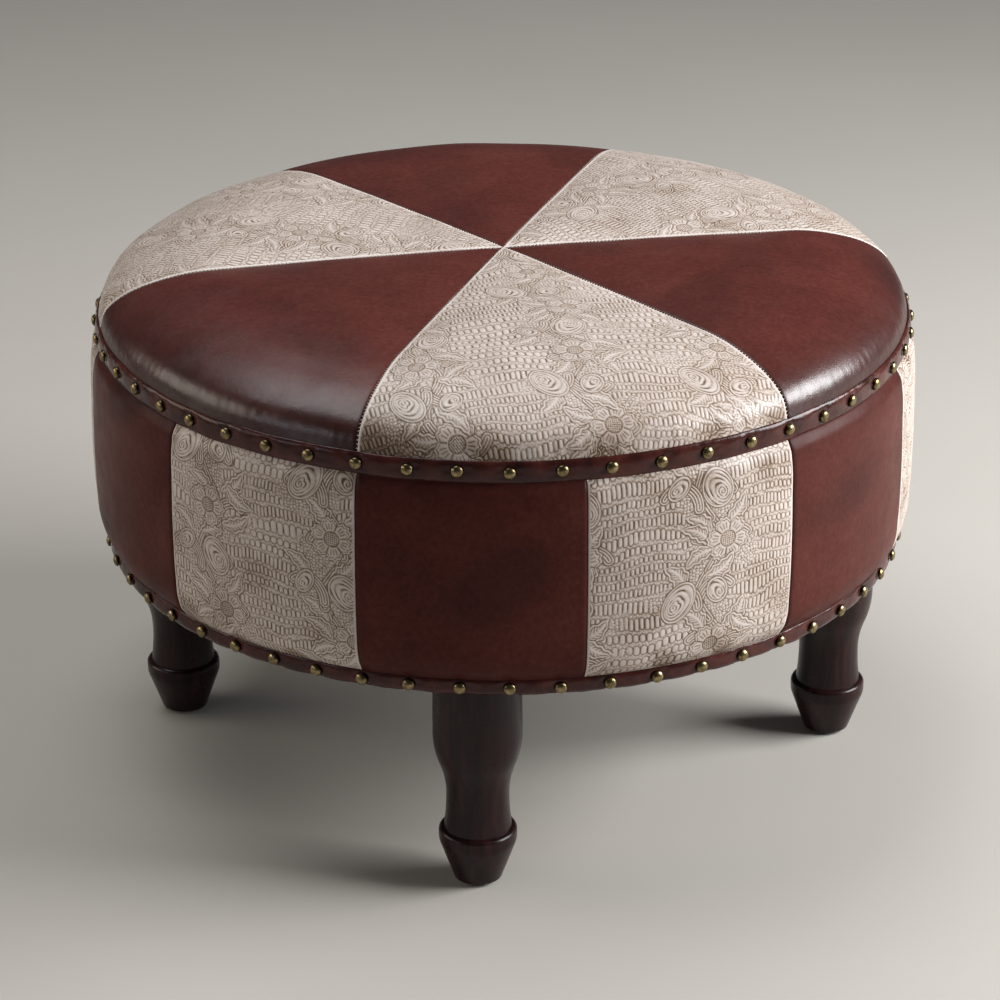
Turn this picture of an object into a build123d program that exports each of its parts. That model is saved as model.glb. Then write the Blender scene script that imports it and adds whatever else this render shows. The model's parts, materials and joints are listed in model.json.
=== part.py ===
from build123d import *
import os
from math import cos, degrees, pi, radians, sin, sqrt

# A round drum footstool: a hollow plywood drum on four turned legs, padded, covered in two
# leathers and edged with nailed trim. Sizes are millimetres and degrees. +Z is up, the floor is
# at Z = 0 and the drum's axis is the Z axis. A bearing is an angle from the front, -Y, round
# towards the right, +X.

# Turned legs, from the floor up
LEG_COUNT = 4
GLIDE_RADIUS = 14.0
GLIDE_THICKNESS = 3.0
GLIDE_ROUND = 1.2
GLIDE_PIN_RADIUS = 1.25
GLIDE_PIN_LENGTH = 12.0
FOOT_RADIUS = 20.0
FOOT_HEIGHT = 36.0
BELT_RADIUS = 32.8
BELT_HEIGHT = 11.5
BELT_ROUND = 4.0
BELT_LEDGE = 0.3
FOOT_ROUND = 16.0
NECK_RADIUS = 28.5
WAIST_RADIUS = 26.3
WAIST_RISE = 31.0
SWELL_RADIUS = 37.3
SWELL_RISE = 57.0
LEG_TOP_RADIUS = 36.2
LEG_TOP_RISE = 63.0
LEG_SETBACK = 0.8

# Leg fixings
BOLT_RADIUS = 4.0
BOLT_IN_LEG = 32.0
TEE_NUT_FLANGE_RADIUS = 10.0
TEE_NUT_FLANGE_THICKNESS = 1.5
TEE_NUT_BARREL_RADIUS = 5.0
TEE_NUT_BARREL_LENGTH = 9.0
LEG_BLOCK_SIZE = 70.0
LEG_BLOCK_THICKNESS = 18.0

# Drum frame
DRUM_RADIUS = 350.0
BOARD_THICKNESS = 18.0
POST_COUNT = 8
POST_WIDTH = 40.0
POST_DEPTH = 38.0
LINER_THICKNESS = 4.0
LINER_BUTT_GAP = 1.0
SCREW_RADIUS = 2.3
SCREW_HEAD_RADIUS = 4.6
SCREW_LENGTH = 45.0
SCREW_TIP = 6.0
PILOT_SPARE = 3.0

# Covers, padding and cushion
LEATHER_THICKNESS = 1.6
SIDE_PADDING = 5.0
SIDE_TUCK = 3.0
SIDE_BULGE = 10.5
# Shape of the side between the trims: shares of its height, from below, and of its bulge there
SIDE_SHAPE = [
    (0.04, 0.50),
    (0.10, 0.83),
    (0.22, 0.97),
    (0.42, 1.00),
    (0.72, 0.84),
    (0.90, 0.64),
    (0.96, 0.42),
]
WADDING_THICKNESS = 8.0
WEDGE_COUNT = 6
WEDGE_START_ANGLE = -15.0
PANEL_COUNT = 12
SEAM_GAP = 0.4
CROWN_SLOPE = 1.2
SHOULDER_RADIUS = 186.0
SHOULDER_SLOPE = 13.6
ROLL_RADIUS = 101.5
ROLL_SLOPE = 45.0
EDGE_RADIUS = 31.0
PUFF = 5.5
PUFF_BIAS_RATIO = 1.6
PUFF_SECTION_COUNT = 7
WEDGE_TIP = 1.0

# Trim and nails
TRIM_THICKNESS = 2.4
TRIM_EDGE_ROUND = 0.9
UPPER_TRIM_WIDTH = 19.0
LOWER_TRIM_HEIGHT = 11.0
LOWER_TRIM_LIP = 20.0
NAIL_COUNT = 54
NAIL_HEAD_RADIUS = 5.25
NAIL_HEAD_HEIGHT = 2.6
NAIL_RIM = 0.5
NAIL_SHANK_RADIUS = 0.9
NAIL_SHANK_LENGTH = 19.0
NAIL_TIP = 4.0
LOWER_NAIL_RISE = 4.0
NAIL_ROW_SPACING = 191.0

# Dust cover under the drum
DUST_COVER_THICKNESS = 0.6
STAPLES_PER_QUARTER = 8
STAPLE_SWEEP = 66.0
STAPLE_INSET = 8.0
STAPLE_CROWN = 10.0
STAPLE_WIRE = 0.7
STAPLE_DEPTH = 8.0

# Clearances between pieces that lie against each other
LAYER_GAP = 0.2
HEM_CLEARANCE = 0.2
BORE_CLEARANCE = 0.15

# Heights that follow from the sizes above
foot_bottom = GLIDE_THICKNESS
belt_bottom = foot_bottom + FOOT_HEIGHT
belt_top = belt_bottom + BELT_HEIGHT
waist_height = belt_top + WAIST_RISE
swell_height = waist_height + SWELL_RISE
leg_top = swell_height + LEG_TOP_RISE
base_bottom = leg_top + DUST_COVER_THICKNESS
base_top = base_bottom + BOARD_THICKNESS
block_top = base_top + LEG_BLOCK_THICKNESS
lower_nail_height = base_bottom + LOWER_NAIL_RISE
upper_nail_height = lower_nail_height + NAIL_ROW_SPACING
seat_bottom = upper_nail_height - BOARD_THICKNESS / 2
seat_top = seat_bottom + BOARD_THICKNESS
hem_offset = NAIL_SHANK_RADIUS + HEM_CLEARANCE
hem_height = upper_nail_height + hem_offset
panel_bottom = lower_nail_height + hem_offset
panel_top = upper_nail_height - hem_offset
upper_trim_bottom = upper_nail_height - UPPER_TRIM_WIDTH / 2
lower_trim_top = base_bottom + LOWER_TRIM_HEIGHT
lower_trim_bottom = base_bottom - TRIM_THICKNESS

# Radii that follow from the sizes above, from the covers inwards
cover_inside = DRUM_RADIUS - LEATHER_THICKNESS
padding_outside = cover_inside - LAYER_GAP
padding_inside = padding_outside - SIDE_PADDING
liner_outside = padding_inside - LAYER_GAP
liner_inside = liner_outside - LINER_THICKNESS
board_radius = liner_inside - LAYER_GAP
trim_inside = DRUM_RADIUS + LAYER_GAP
trim_outside = trim_inside + TRIM_THICKNESS
side_foot_radius = DRUM_RADIUS - SIDE_TUCK
lower_trim_inside = side_foot_radius + LAYER_GAP
lower_trim_outside = lower_trim_inside + TRIM_THICKNESS
lip_inside = lower_trim_outside - LOWER_TRIM_LIP
dust_cover_radius = lip_inside - LAYER_GAP
leg_circle = lip_inside - LEG_SETBACK - LEG_TOP_RADIUS
post_circle = sqrt(board_radius**2 - (POST_WIDTH / 2) ** 2) - POST_DEPTH / 2
wedge_shift = SEAM_GAP / 2 / sin(radians(180 / WEDGE_COUNT))
wadding_inset = wedge_shift + LEATHER_THICKNESS + LAYER_GAP
foam_inset = wadding_inset + WADDING_THICKNESS + LAYER_GAP

LEG_NAMES = ["front", "right", "back", "left"]
LEATHERS = ["cream", "brown"]
wedge_angle = 360 / WEDGE_COUNT
panel_angle = 360 / PANEL_COUNT
quarter = 360 / LEG_COUNT


def outward(bearing):
    """Unit vector from the axis towards a bearing."""
    return Vector(sin(radians(bearing)), -cos(radians(bearing)), 0)


def meridian(bearing, origin=(0, 0, 0)):
    """Upright plane with its local X pointing away from the axis and its local Y pointing up."""
    return Plane(origin, x_dir=outward(bearing), z_dir=outward(bearing).cross(Vector(0, 0, 1)))


def standing(bearing, radius, height):
    """Level plane at a place round the axis, with its local X pointing away from the axis."""
    return Plane(outward(bearing) * radius + Vector(0, 0, height), x_dir=outward(bearing))


def facing_out(bearing, radius, height):
    """Upright plane at a place round the axis that faces away from the axis."""
    return Plane(outward(bearing) * radius + Vector(0, 0, height), z_dir=outward(bearing))


def ring_of(count, start=0.0):
    """Bearings spaced evenly round the axis."""
    return [start + 360 / count * index for index in range(count)]


def save(piece, label):
    """Label a finished piece and write it to its own file."""
    piece.part.label = label
    export_step(piece.part, f"parts/{label}.step")


def slope_normal(slope):
    """Normal, in a meridian plane, of a surface that falls away at this slope."""
    return Vector(sin(radians(slope)), cos(radians(slope)))


# The cushion's meridian: four arcs, each tangent to the next, from the crown down to the hem
edge_centre = Vector(DRUM_RADIUS - EDGE_RADIUS, hem_height)
roll_centre = edge_centre - slope_normal(ROLL_SLOPE) * (ROLL_RADIUS - EDGE_RADIUS)
shoulder_centre = roll_centre - slope_normal(SHOULDER_SLOPE) * (SHOULDER_RADIUS - ROLL_RADIUS)
crown_rim = shoulder_centre + slope_normal(CROWN_SLOPE) * SHOULDER_RADIUS
crown_radius = crown_rim.X / sin(radians(CROWN_SLOPE))
crown_centre = Vector(0, crown_rim.Y - crown_radius * cos(radians(CROWN_SLOPE)))
cushion_arcs = [
    (crown_centre, crown_radius, 0, CROWN_SLOPE),
    (shoulder_centre, SHOULDER_RADIUS, CROWN_SLOPE, SHOULDER_SLOPE),
    (roll_centre, ROLL_RADIUS, SHOULDER_SLOPE, ROLL_SLOPE),
    (edge_centre, EDGE_RADIUS, ROLL_SLOPE, 90),
]


def draw_cushion(inset):
    """Draw the cushion's meridian, inset from its outer face. Returns its crown and its hem."""
    crown = Vector(0, crown_centre.Y + crown_radius - inset)
    start = crown
    for centre, radius, upper_slope, lower_slope in cushion_arcs:
        end = centre + slope_normal(lower_slope) * (radius - inset)
        TangentArc(start, end, tangent=slope_normal(upper_slope + 90))
        start = end
    return crown, start


def draw_puffed_cushion(inset, rise):
    """Draw the meridian from the tip of a wedge to its hem, raised above the seams by its fill."""
    points = [Vector(WEDGE_TIP, crown_centre.Y + crown_radius - inset)]
    for centre, radius, upper_slope, lower_slope in cushion_arcs:
        for slope in ((upper_slope + lower_slope) / 2, lower_slope):
            place = centre + slope_normal(slope) * (radius - inset)
            fullness = sin(pi * (place.X / (DRUM_RADIUS - inset)) ** PUFF_BIAS_RATIO)
            points.append(place + slope_normal(slope) * rise * fullness)
    return Spline(*points, tangents=[(1, 0), (0, -1)])


def loft_wedge(first_seam, tip, outer, inner, inner_puff):
    """Loft one wedge from seam to seam, between two insets of the cushion's outer face."""
    sections = []
    for step in range(PUFF_SECTION_COUNT):
        share = step / (PUFF_SECTION_COUNT - 1)
        swell = 4 * share * (1 - share)
        with BuildSketch(meridian(first_seam + wedge_angle * share, tip)) as section:
            with BuildLine():
                outer_face = draw_puffed_cushion(outer, PUFF * swell)
                inner_face = draw_puffed_cushion(inner, inner_puff * swell)
                Line(outer_face @ 0, inner_face @ 0)
                Line(outer_face @ 1, inner_face @ 1)
            make_face()
        sections.append(section.sketch.face())
    loft(sections)


def draw_side(inset):
    """Draw the padded side's meridian, inset from its outer face. Returns its foot and its head."""
    low = Vector(side_foot_radius - inset, lower_trim_top)
    high = Vector(DRUM_RADIUS - inset, upper_trim_bottom)
    belly = [low + (high - low) * rise + Vector(SIDE_BULGE * share, 0) for rise, share in SIDE_SHAPE]
    foot = Line((low.X, panel_bottom), low)
    Spline(low, *belly, high)
    head = Line(high, (high.X, panel_top))
    return foot @ 0, head @ 1


def revolve_ring(inside, outside, bottom, top, start=0.0, sweep=360.0):
    """Revolve a plain rectangular section round the axis."""
    with BuildSketch(meridian(start)) as section:
        with Locations(((inside + outside) / 2, (bottom + top) / 2)):
            Rectangle(outside - inside, top - bottom)
    revolve(section.sketch, axis=Axis.Z, revolution_arc=sweep)


def screw_seats(height, facing):
    """Planes of the screw heads, one over each post."""
    bearings = ring_of(POST_COUNT, 180 / POST_COUNT)
    return [
        Plane(outward(bearing) * post_circle + Vector(0, 0, height), z_dir=(0, 0, facing))
        for bearing in bearings
    ]


def countersinks(height, facing):
    """Cut the countersunk screw holes of a board."""
    with Locations(*screw_seats(height, facing)):
        CounterSinkHole(
            radius=SCREW_RADIUS + BORE_CLEARANCE,
            counter_sink_radius=SCREW_HEAD_RADIUS + BORE_CLEARANCE,
            depth=BOARD_THICKNESS,
            counter_sink_angle=90,
        )


os.makedirs("parts", exist_ok=True)
leg_bearings = ring_of(LEG_COUNT)
post_bearings = ring_of(POST_COUNT, 180 / POST_COUNT)

# Frame: two round boards held apart by posts
with BuildPart(Plane.XY.offset(base_bottom)) as base_board:
    Cylinder(board_radius, BOARD_THICKNESS, align=(Align.CENTER, Align.CENTER, Align.MIN))
    with Locations(*[standing(bearing, leg_circle, BOARD_THICKNESS) for bearing in leg_bearings]):
        Hole(BOLT_RADIUS + BORE_CLEARANCE, depth=BOARD_THICKNESS)
    countersinks(0, -1)
save(base_board, "base_board")

with BuildPart(Plane.XY.offset(seat_bottom)) as seat_board:
    Cylinder(board_radius, BOARD_THICKNESS, align=(Align.CENTER, Align.CENTER, Align.MIN))
    countersinks(BOARD_THICKNESS, 1)
save(seat_board, "seat_board")

post_height = seat_bottom - base_top
pilot_depth = SCREW_LENGTH - BOARD_THICKNESS + PILOT_SPARE
for number, bearing in enumerate(post_bearings, start=1):
    with BuildPart(standing(bearing, post_circle, base_top)) as post:
        Box(POST_DEPTH, POST_WIDTH, post_height, align=(Align.CENTER, Align.CENTER, Align.MIN))
        with Locations(Plane.XY.offset(post_height), Plane.XY.rotated((180, 0, 0))):
            Hole(SCREW_RADIUS + BORE_CLEARANCE, depth=pilot_depth)
    save(post, f"post_{number}")

with BuildPart() as screw:
    with BuildSketch(Plane.XZ):
        with BuildLine():
            Polyline(
                (0, 0),
                (SCREW_HEAD_RADIUS, 0),
                (SCREW_RADIUS, SCREW_RADIUS - SCREW_HEAD_RADIUS),
                (SCREW_RADIUS, SCREW_TIP - SCREW_LENGTH),
                (0, -SCREW_LENGTH),
                close=True,
            )
        make_face()
    revolve(axis=Axis.Z)

with BuildPart() as frame_screws:
    with Locations(*screw_seats(base_bottom, -1), *screw_seats(seat_top, 1)):
        add(screw.part)
save(frame_screws, "frame_screws")

# Bent liner round the boards and posts, with its butt joint over a post
butt_angle = degrees(LINER_BUTT_GAP / liner_outside)
with BuildPart() as side_liner:
    joint_bearing = post_bearings[POST_COUNT // 2] + butt_angle / 2
    revolve_ring(liner_inside, liner_outside, base_bottom, seat_top, joint_bearing, 360 - butt_angle)
save(side_liner, "side_liner")

# Legs with their glides, blocks, bolts and tee nuts
for name, bearing in zip(LEG_NAMES, leg_bearings):
    leg_foot = outward(bearing) * leg_circle
    leg_axis = Axis(leg_foot, (0, 0, 1))

    with BuildPart() as leg:
        waist = Vector(WAIST_RADIUS, waist_height)
        swell = Vector(SWELL_RADIUS, swell_height)
        with BuildSketch(meridian(bearing, leg_foot)):
            with BuildLine():
                foot = FilletPolyline(
                    (0, foot_bottom),
                    (FOOT_RADIUS, foot_bottom),
                    (BELT_RADIUS, belt_bottom),
                    (BELT_RADIUS, belt_top - BELT_ROUND),
                    radius=[GLIDE_ROUND, FOOT_ROUND],
                )
                belt = TangentArc(foot @ 1, (NECK_RADIUS + BELT_LEDGE, belt_top), tangent=(0, 1))
                ledge = Line(belt @ 1, (NECK_RADIUS, belt_top))
                TangentArc(waist, ledge @ 1, tangent=(0, -1))
                hollow = TangentArc(waist, (waist + swell) / 2, tangent=(0, 1))
                TangentArc(hollow @ 1, swell, tangent=hollow % 1)
                neck = TangentArc(swell, (LEG_TOP_RADIUS, leg_top), tangent=(0, 1))
                Polyline(neck @ 1, (0, leg_top), (0, foot_bottom))
            make_face()
        revolve(axis=leg_axis)
        with Locations(standing(bearing, leg_circle, leg_top)):
            Hole(BOLT_RADIUS + BORE_CLEARANCE, depth=BOLT_IN_LEG)
        with Locations(Plane(leg_foot + Vector(0, 0, foot_bottom), z_dir=(0, 0, -1))):
            Hole(GLIDE_PIN_RADIUS + BORE_CLEARANCE, depth=GLIDE_PIN_LENGTH)
    save(leg, f"leg_{name}")

    with BuildPart(standing(bearing, leg_circle, 0)) as glide:
        Cylinder(GLIDE_RADIUS, GLIDE_THICKNESS, align=(Align.CENTER, Align.CENTER, Align.MIN))
        fillet(glide.edges().group_by(Axis.Z)[0], GLIDE_ROUND)
        with Locations((0, 0, GLIDE_THICKNESS)):
            Cylinder(
                GLIDE_PIN_RADIUS,
                GLIDE_PIN_LENGTH,
                align=(Align.CENTER, Align.CENTER, Align.MIN),
            )
    save(glide, f"glide_{name}")

    with BuildPart() as leg_block:
        with BuildSketch(Plane.XY.offset(base_top)):
            Circle(board_radius)
        extrude(amount=LEG_BLOCK_THICKNESS)
        with Locations(standing(bearing, leg_circle, base_top)):
            Box(
                LEG_BLOCK_SIZE,
                LEG_BLOCK_SIZE,
                LEG_BLOCK_THICKNESS,
                align=(Align.CENTER, Align.CENTER, Align.MIN),
                mode=Mode.INTERSECT,
            )
        with Locations(standing(bearing, leg_circle, block_top)):
            Hole(TEE_NUT_BARREL_RADIUS + BORE_CLEARANCE, depth=LEG_BLOCK_THICKNESS)
    save(leg_block, f"leg_block_{name}")

with BuildPart() as tee_nuts:
    for bearing in leg_bearings:
        with Locations(standing(bearing, leg_circle, block_top)):
            Cylinder(
                TEE_NUT_FLANGE_RADIUS,
                TEE_NUT_FLANGE_THICKNESS,
                align=(Align.CENTER, Align.CENTER, Align.MIN),
            )
            Cylinder(
                TEE_NUT_BARREL_RADIUS,
                TEE_NUT_BARREL_LENGTH,
                align=(Align.CENTER, Align.CENTER, Align.MAX),
            )
            Cylinder(
                BOLT_RADIUS + BORE_CLEARANCE,
                2 * (TEE_NUT_FLANGE_THICKNESS + TEE_NUT_BARREL_LENGTH),
                mode=Mode.SUBTRACT,
            )
save(tee_nuts, "tee_nuts")

bolt_bottom = leg_top - BOLT_IN_LEG
bolt_top = block_top + TEE_NUT_FLANGE_THICKNESS
with BuildPart() as hanger_bolts:
    with Locations(*[standing(bearing, leg_circle, bolt_bottom) for bearing in leg_bearings]):
        Cylinder(
            BOLT_RADIUS,
            bolt_top - bolt_bottom,
            align=(Align.CENTER, Align.CENTER, Align.MIN),
        )
save(hanger_bolts, "hanger_bolts")

# Padding and covers of the side
with BuildPart() as side_padding:
    with BuildSketch(meridian(0)) as section:
        with BuildLine():
            foot, head = draw_side(LEATHER_THICKNESS + LAYER_GAP)
            Polyline(foot, (padding_inside, panel_bottom), (padding_inside, panel_top), head)
        make_face()
    revolve(section.sketch, axis=Axis.Z)
save(side_padding, "side_padding")

panel_seam = degrees(SEAM_GAP / DRUM_RADIUS)
for index, centre in enumerate(ring_of(PANEL_COUNT)):
    leather = LEATHERS[(index + 1) % len(LEATHERS)]
    first_edge = centre - (panel_angle - panel_seam) / 2
    with BuildPart() as side_panel:
        with BuildSketch(meridian(first_edge)) as section:
            with BuildLine():
                outer_foot, outer_head = draw_side(0)
                inner_foot, inner_head = draw_side(LEATHER_THICKNESS)
                Line(outer_foot, inner_foot)
                Line(outer_head, inner_head)
            make_face()
        revolve(section.sketch, axis=Axis.Z, revolution_arc=panel_angle - panel_seam)
    save(side_panel, f"side_panel_{leather}_{index // len(LEATHERS) + 1}")

# Cushion: a flat foam block, wadding that fills out each wedge and six sewn wedges of leather
with BuildPart() as seat_foam:
    with BuildSketch(Plane.XZ):
        with BuildLine():
            foam_crown, foam_hem = draw_cushion(foam_inset)
            Polyline(foam_hem, (0, hem_height), foam_crown)
        make_face()
    revolve(axis=Axis.Z)
    split(bisect_by=Plane.XY.offset(seat_top), keep=Keep.TOP)
save(seat_foam, "seat_foam")

first_seams = ring_of(WEDGE_COUNT, WEDGE_START_ANGLE)
with BuildPart() as seat_wadding:
    for first_seam in first_seams:
        loft_wedge(first_seam, (0, 0, 0), wadding_inset, foam_inset - LAYER_GAP, 0)
    with Locations((0, 0, seat_top)):
        Cylinder(
            liner_outside + LAYER_GAP,
            seat_top,
            align=(Align.CENTER, Align.CENTER, Align.MAX),
            mode=Mode.SUBTRACT,
        )
save(seat_wadding, "seat_wadding")

for index, first_seam in enumerate(first_seams):
    leather = LEATHERS[index % len(LEATHERS)]
    tip = outward(first_seam + wedge_angle / 2) * wedge_shift
    with BuildPart() as seat_wedge:
        loft_wedge(first_seam, tip, wedge_shift, wedge_shift + LEATHER_THICKNESS, PUFF)
    save(seat_wedge, f"seat_wedge_{leather}_{index // len(LEATHERS) + 1}")

# Trim: an upper strip that leans in with the cushion's edge, and a lower strip turned under
upper_reach = UPPER_TRIM_WIDTH / 2 - hem_offset
upper_lean = degrees(upper_reach / (EDGE_RADIUS + LAYER_GAP + TRIM_THICKNESS / 2))
with BuildPart() as upper_trim:
    with BuildSketch(Plane.XZ) as upper_section:
        with BuildLine():
            inner_bend = CenterArc(edge_centre, EDGE_RADIUS + LAYER_GAP, 0, upper_lean)
            outer_bend = CenterArc(edge_centre, trim_outside - edge_centre.X, 0, upper_lean)
            Line(inner_bend @ 1, outer_bend @ 1)
            Polyline(
                inner_bend @ 0,
                (trim_inside, upper_trim_bottom),
                (trim_outside, upper_trim_bottom),
                outer_bend @ 0,
            )
        make_face()
        by_height = upper_section.vertices().sort_by(Axis.Y)
        fillet(by_height[:2] + by_height[-2:], TRIM_EDGE_ROUND)
    revolve(axis=Axis.Z)
save(upper_trim, "upper_trim")

with BuildPart() as lower_trim:
    with BuildSketch(Plane.XZ) as lower_section:
        with BuildLine():
            Polyline(
                (lip_inside, base_bottom),
                (lower_trim_inside, base_bottom),
                (lower_trim_inside, lower_trim_top),
                (lower_trim_outside, lower_trim_top),
                (lower_trim_outside, lower_trim_bottom),
                (lip_inside, lower_trim_bottom),
                close=True,
            )
        make_face()
        fillet(lower_section.vertices().group_by(Axis.Y)[-1], TRIM_EDGE_ROUND)
        fillet(lower_section.vertices().group_by(Axis.Y)[0].sort_by(Axis.X)[-1], TRIM_THICKNESS)
    revolve(axis=Axis.Z)
save(lower_trim, "lower_trim")

with BuildPart() as tack_strip:
    revolve_ring(padding_inside, side_foot_radius, base_bottom, lower_nail_height - hem_offset)
save(tack_strip, "tack_strip")

with BuildPart() as nail:
    with BuildSketch(Plane.XZ):
        with BuildLine():
            dome = TangentArc((0, NAIL_HEAD_HEIGHT), (NAIL_HEAD_RADIUS, NAIL_RIM), tangent=(1, 0))
            Polyline(
                dome @ 1,
                (NAIL_HEAD_RADIUS, 0),
                (NAIL_SHANK_RADIUS, 0),
                (NAIL_SHANK_RADIUS, NAIL_TIP - NAIL_SHANK_LENGTH),
                (0, -NAIL_SHANK_LENGTH),
                dome @ 0,
            )
        make_face()
    revolve(axis=Axis.Z)

nail_rows = [
    ("lower_nails", lower_trim_outside, lower_nail_height),
    ("upper_nails", trim_outside, upper_nail_height),
]
for label, radius, height in nail_rows:
    bearings = ring_of(NAIL_COUNT, WEDGE_START_ANGLE)
    with BuildPart() as nail_row:
        with Locations(*[facing_out(bearing, radius, height) for bearing in bearings]):
            add(nail.part)
    save(nail_row, label)

# Dust cover under the base board, stapled between the legs
with BuildPart(Plane.XY.offset(leg_top)) as dust_cover:
    Cylinder(
        dust_cover_radius,
        DUST_COVER_THICKNESS,
        align=(Align.CENTER, Align.CENTER, Align.MIN),
    )
    with Locations(*[standing(bearing, leg_circle, DUST_COVER_THICKNESS) for bearing in leg_bearings]):
        Hole(BOLT_RADIUS + BORE_CLEARANCE, depth=DUST_COVER_THICKNESS)
save(dust_cover, "dust_cover")

with BuildPart() as staple:
    Box(
        STAPLE_WIRE,
        STAPLE_CROWN,
        STAPLE_WIRE,
        align=(Align.CENTER, Align.CENTER, Align.MAX),
    )
    with GridLocations(0, STAPLE_CROWN - STAPLE_WIRE, 1, 2):
        Box(
            STAPLE_WIRE,
            STAPLE_WIRE,
            STAPLE_DEPTH,
            align=(Align.CENTER, Align.CENTER, Align.MIN),
        )

staple_step = STAPLE_SWEEP / (STAPLES_PER_QUARTER - 1)
staple_bearings = [
    leg_bearing + quarter / 2 + staple_step * index - STAPLE_SWEEP / 2
    for leg_bearing in leg_bearings
    for index in range(STAPLES_PER_QUARTER)
]
staple_circle = dust_cover_radius - STAPLE_INSET
with BuildPart() as staples:
    with Locations(*[standing(bearing, staple_circle, leg_top) for bearing in staple_bearings]):
        add(staple.part)
save(staples, "dust_cover_staples")
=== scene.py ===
"""Looks of a round leather footstool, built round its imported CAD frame.

The script works in millimetres and turns them into metres when a mesh is made. A bearing is an
angle from the front, -Y, round towards the right, +X, as in the CAD source.
"""

import json
import math

import bpy
import numpy as np
from mathutils import Matrix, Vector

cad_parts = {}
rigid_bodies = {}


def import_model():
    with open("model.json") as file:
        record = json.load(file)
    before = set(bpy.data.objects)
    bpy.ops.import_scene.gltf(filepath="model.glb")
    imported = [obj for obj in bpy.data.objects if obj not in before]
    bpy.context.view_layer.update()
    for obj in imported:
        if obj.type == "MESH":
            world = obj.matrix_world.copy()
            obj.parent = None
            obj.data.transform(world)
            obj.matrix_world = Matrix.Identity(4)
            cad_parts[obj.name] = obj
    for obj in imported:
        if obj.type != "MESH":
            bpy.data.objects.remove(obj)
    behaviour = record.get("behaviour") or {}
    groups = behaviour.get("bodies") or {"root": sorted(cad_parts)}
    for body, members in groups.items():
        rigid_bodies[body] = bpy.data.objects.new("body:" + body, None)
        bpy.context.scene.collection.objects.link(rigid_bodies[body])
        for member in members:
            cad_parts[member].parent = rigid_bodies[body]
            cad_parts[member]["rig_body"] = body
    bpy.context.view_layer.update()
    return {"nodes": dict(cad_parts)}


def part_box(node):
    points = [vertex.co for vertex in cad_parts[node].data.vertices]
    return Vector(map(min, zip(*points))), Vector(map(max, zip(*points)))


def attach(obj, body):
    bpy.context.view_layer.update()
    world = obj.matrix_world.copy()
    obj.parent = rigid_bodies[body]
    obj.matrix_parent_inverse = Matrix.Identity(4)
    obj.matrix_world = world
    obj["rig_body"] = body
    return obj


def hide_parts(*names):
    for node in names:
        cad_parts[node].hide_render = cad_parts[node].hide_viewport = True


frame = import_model()
MM = 0.001

# Sizes repeated from the CAD source, in millimetres and degrees
DRUM_RADIUS = 350.0
HEM_HEIGHT = 398.2
CROWN_SLOPE = 1.2
SHOULDER_RADIUS, SHOULDER_SLOPE = 186.0, 13.6
ROLL_RADIUS, ROLL_SLOPE = 101.5, 45.0
EDGE_RADIUS = 31.0
WEDGE_COUNT = 6
WEDGE_ANGLE = 60.0
FIRST_SEAM = -15.0
PANEL_COUNT = 12
PANEL_ANGLE = 30.0
PANEL_BOTTOM, PANEL_TOP = 207.2, 396.0
LEATHER = 1.6
SIDE_FOOT_RADIUS = 347.0
SIDE_BULGE = 10.5
# Shares of the height between the trims, and of the bulge there
SIDE_SHAPE = [
    (0.04, 0.50),
    (0.10, 0.83),
    (0.22, 0.97),
    (0.42, 1.0),
    (0.72, 0.84),
    (0.90, 0.64),
    (0.96, 0.42),
]
PADDING_INSIDE = 343.2
UPPER_TRIM_INSIDE = 350.2
LOWER_TRIM_INSIDE = 347.2
UPPER_TRIM_BOTTOM = 387.6
LOWER_TRIM_TOP = 213.1
LOWER_TRIM_LIP, LOWER_TRIM_CORNER = 17.6, 2.4
TRIM_THICKNESS = 2.4
UPPER_NAIL_HEIGHT = 397.1
LOWER_NAIL_HEIGHT = 206.1
BASE_BOTTOM = 202.1
NAIL_COUNT = 54
NAIL_RADIUS = 5.25
NAIL_RIM, NAIL_DOME = 0.35, 3.3
NAIL_SHANK_RADIUS, NAIL_SHANK_LENGTH, NAIL_LENGTH = 0.9, 15.0, 19.0
LEG_TOP = 201.5
LEG_CIRCLE = 292.6
DUST_COVER_RADIUS = 329.4
CAMBRIC_THICKNESS = 0.45
LEG_BEARINGS = (0.0, 90.0, 180.0, 270.0)


# Small helpers


def outward(bearing):
    """Unit vectors from the axis towards bearings in degrees."""
    angle = np.radians(np.asarray(bearing, float))
    return np.stack([np.sin(angle), -np.cos(angle), np.zeros_like(angle)], -1)


def around(radius, bearing, height):
    """Points round the drum's axis."""
    point = outward(bearing) * np.asarray(radius, float)[..., None]
    point[..., 2] = height
    return point


def full_turn(columns):
    """Bearings of columns evenly round the axis."""
    return np.linspace(0, 360, columns, endpoint=False)


def unit(vector):
    return vector / np.linalg.norm(vector, axis=-1, keepdims=True)


def lengths_along(points):
    """Distance of each point along a line of points."""
    return np.concatenate([[0], np.cumsum(np.linalg.norm(np.diff(points, axis=0), axis=1))])


def smoothstep(low, high, value):
    share = np.clip((value - low) / (high - low), 0, 1)
    return share * share * (3 - 2 * share)


def bell(distance, width):
    return np.exp(-((distance / width) ** 2))


def periodic_noise(seed, cells, size):
    """Smooth noise that repeats over the array, about -1 to 1, with features of size cells."""
    white = np.random.default_rng(seed).standard_normal((cells, cells))
    frequency = np.fft.fftfreq(cells)
    spread = frequency[:, None] ** 2 + frequency[None, :] ** 2
    kept = np.fft.fft2(white) * np.exp(-spread * (size * 2.2) ** 2)
    noise = np.real(np.fft.ifft2(kept))
    return noise / (2.2 * noise.std())


WAVE_COUNT = 14


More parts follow.
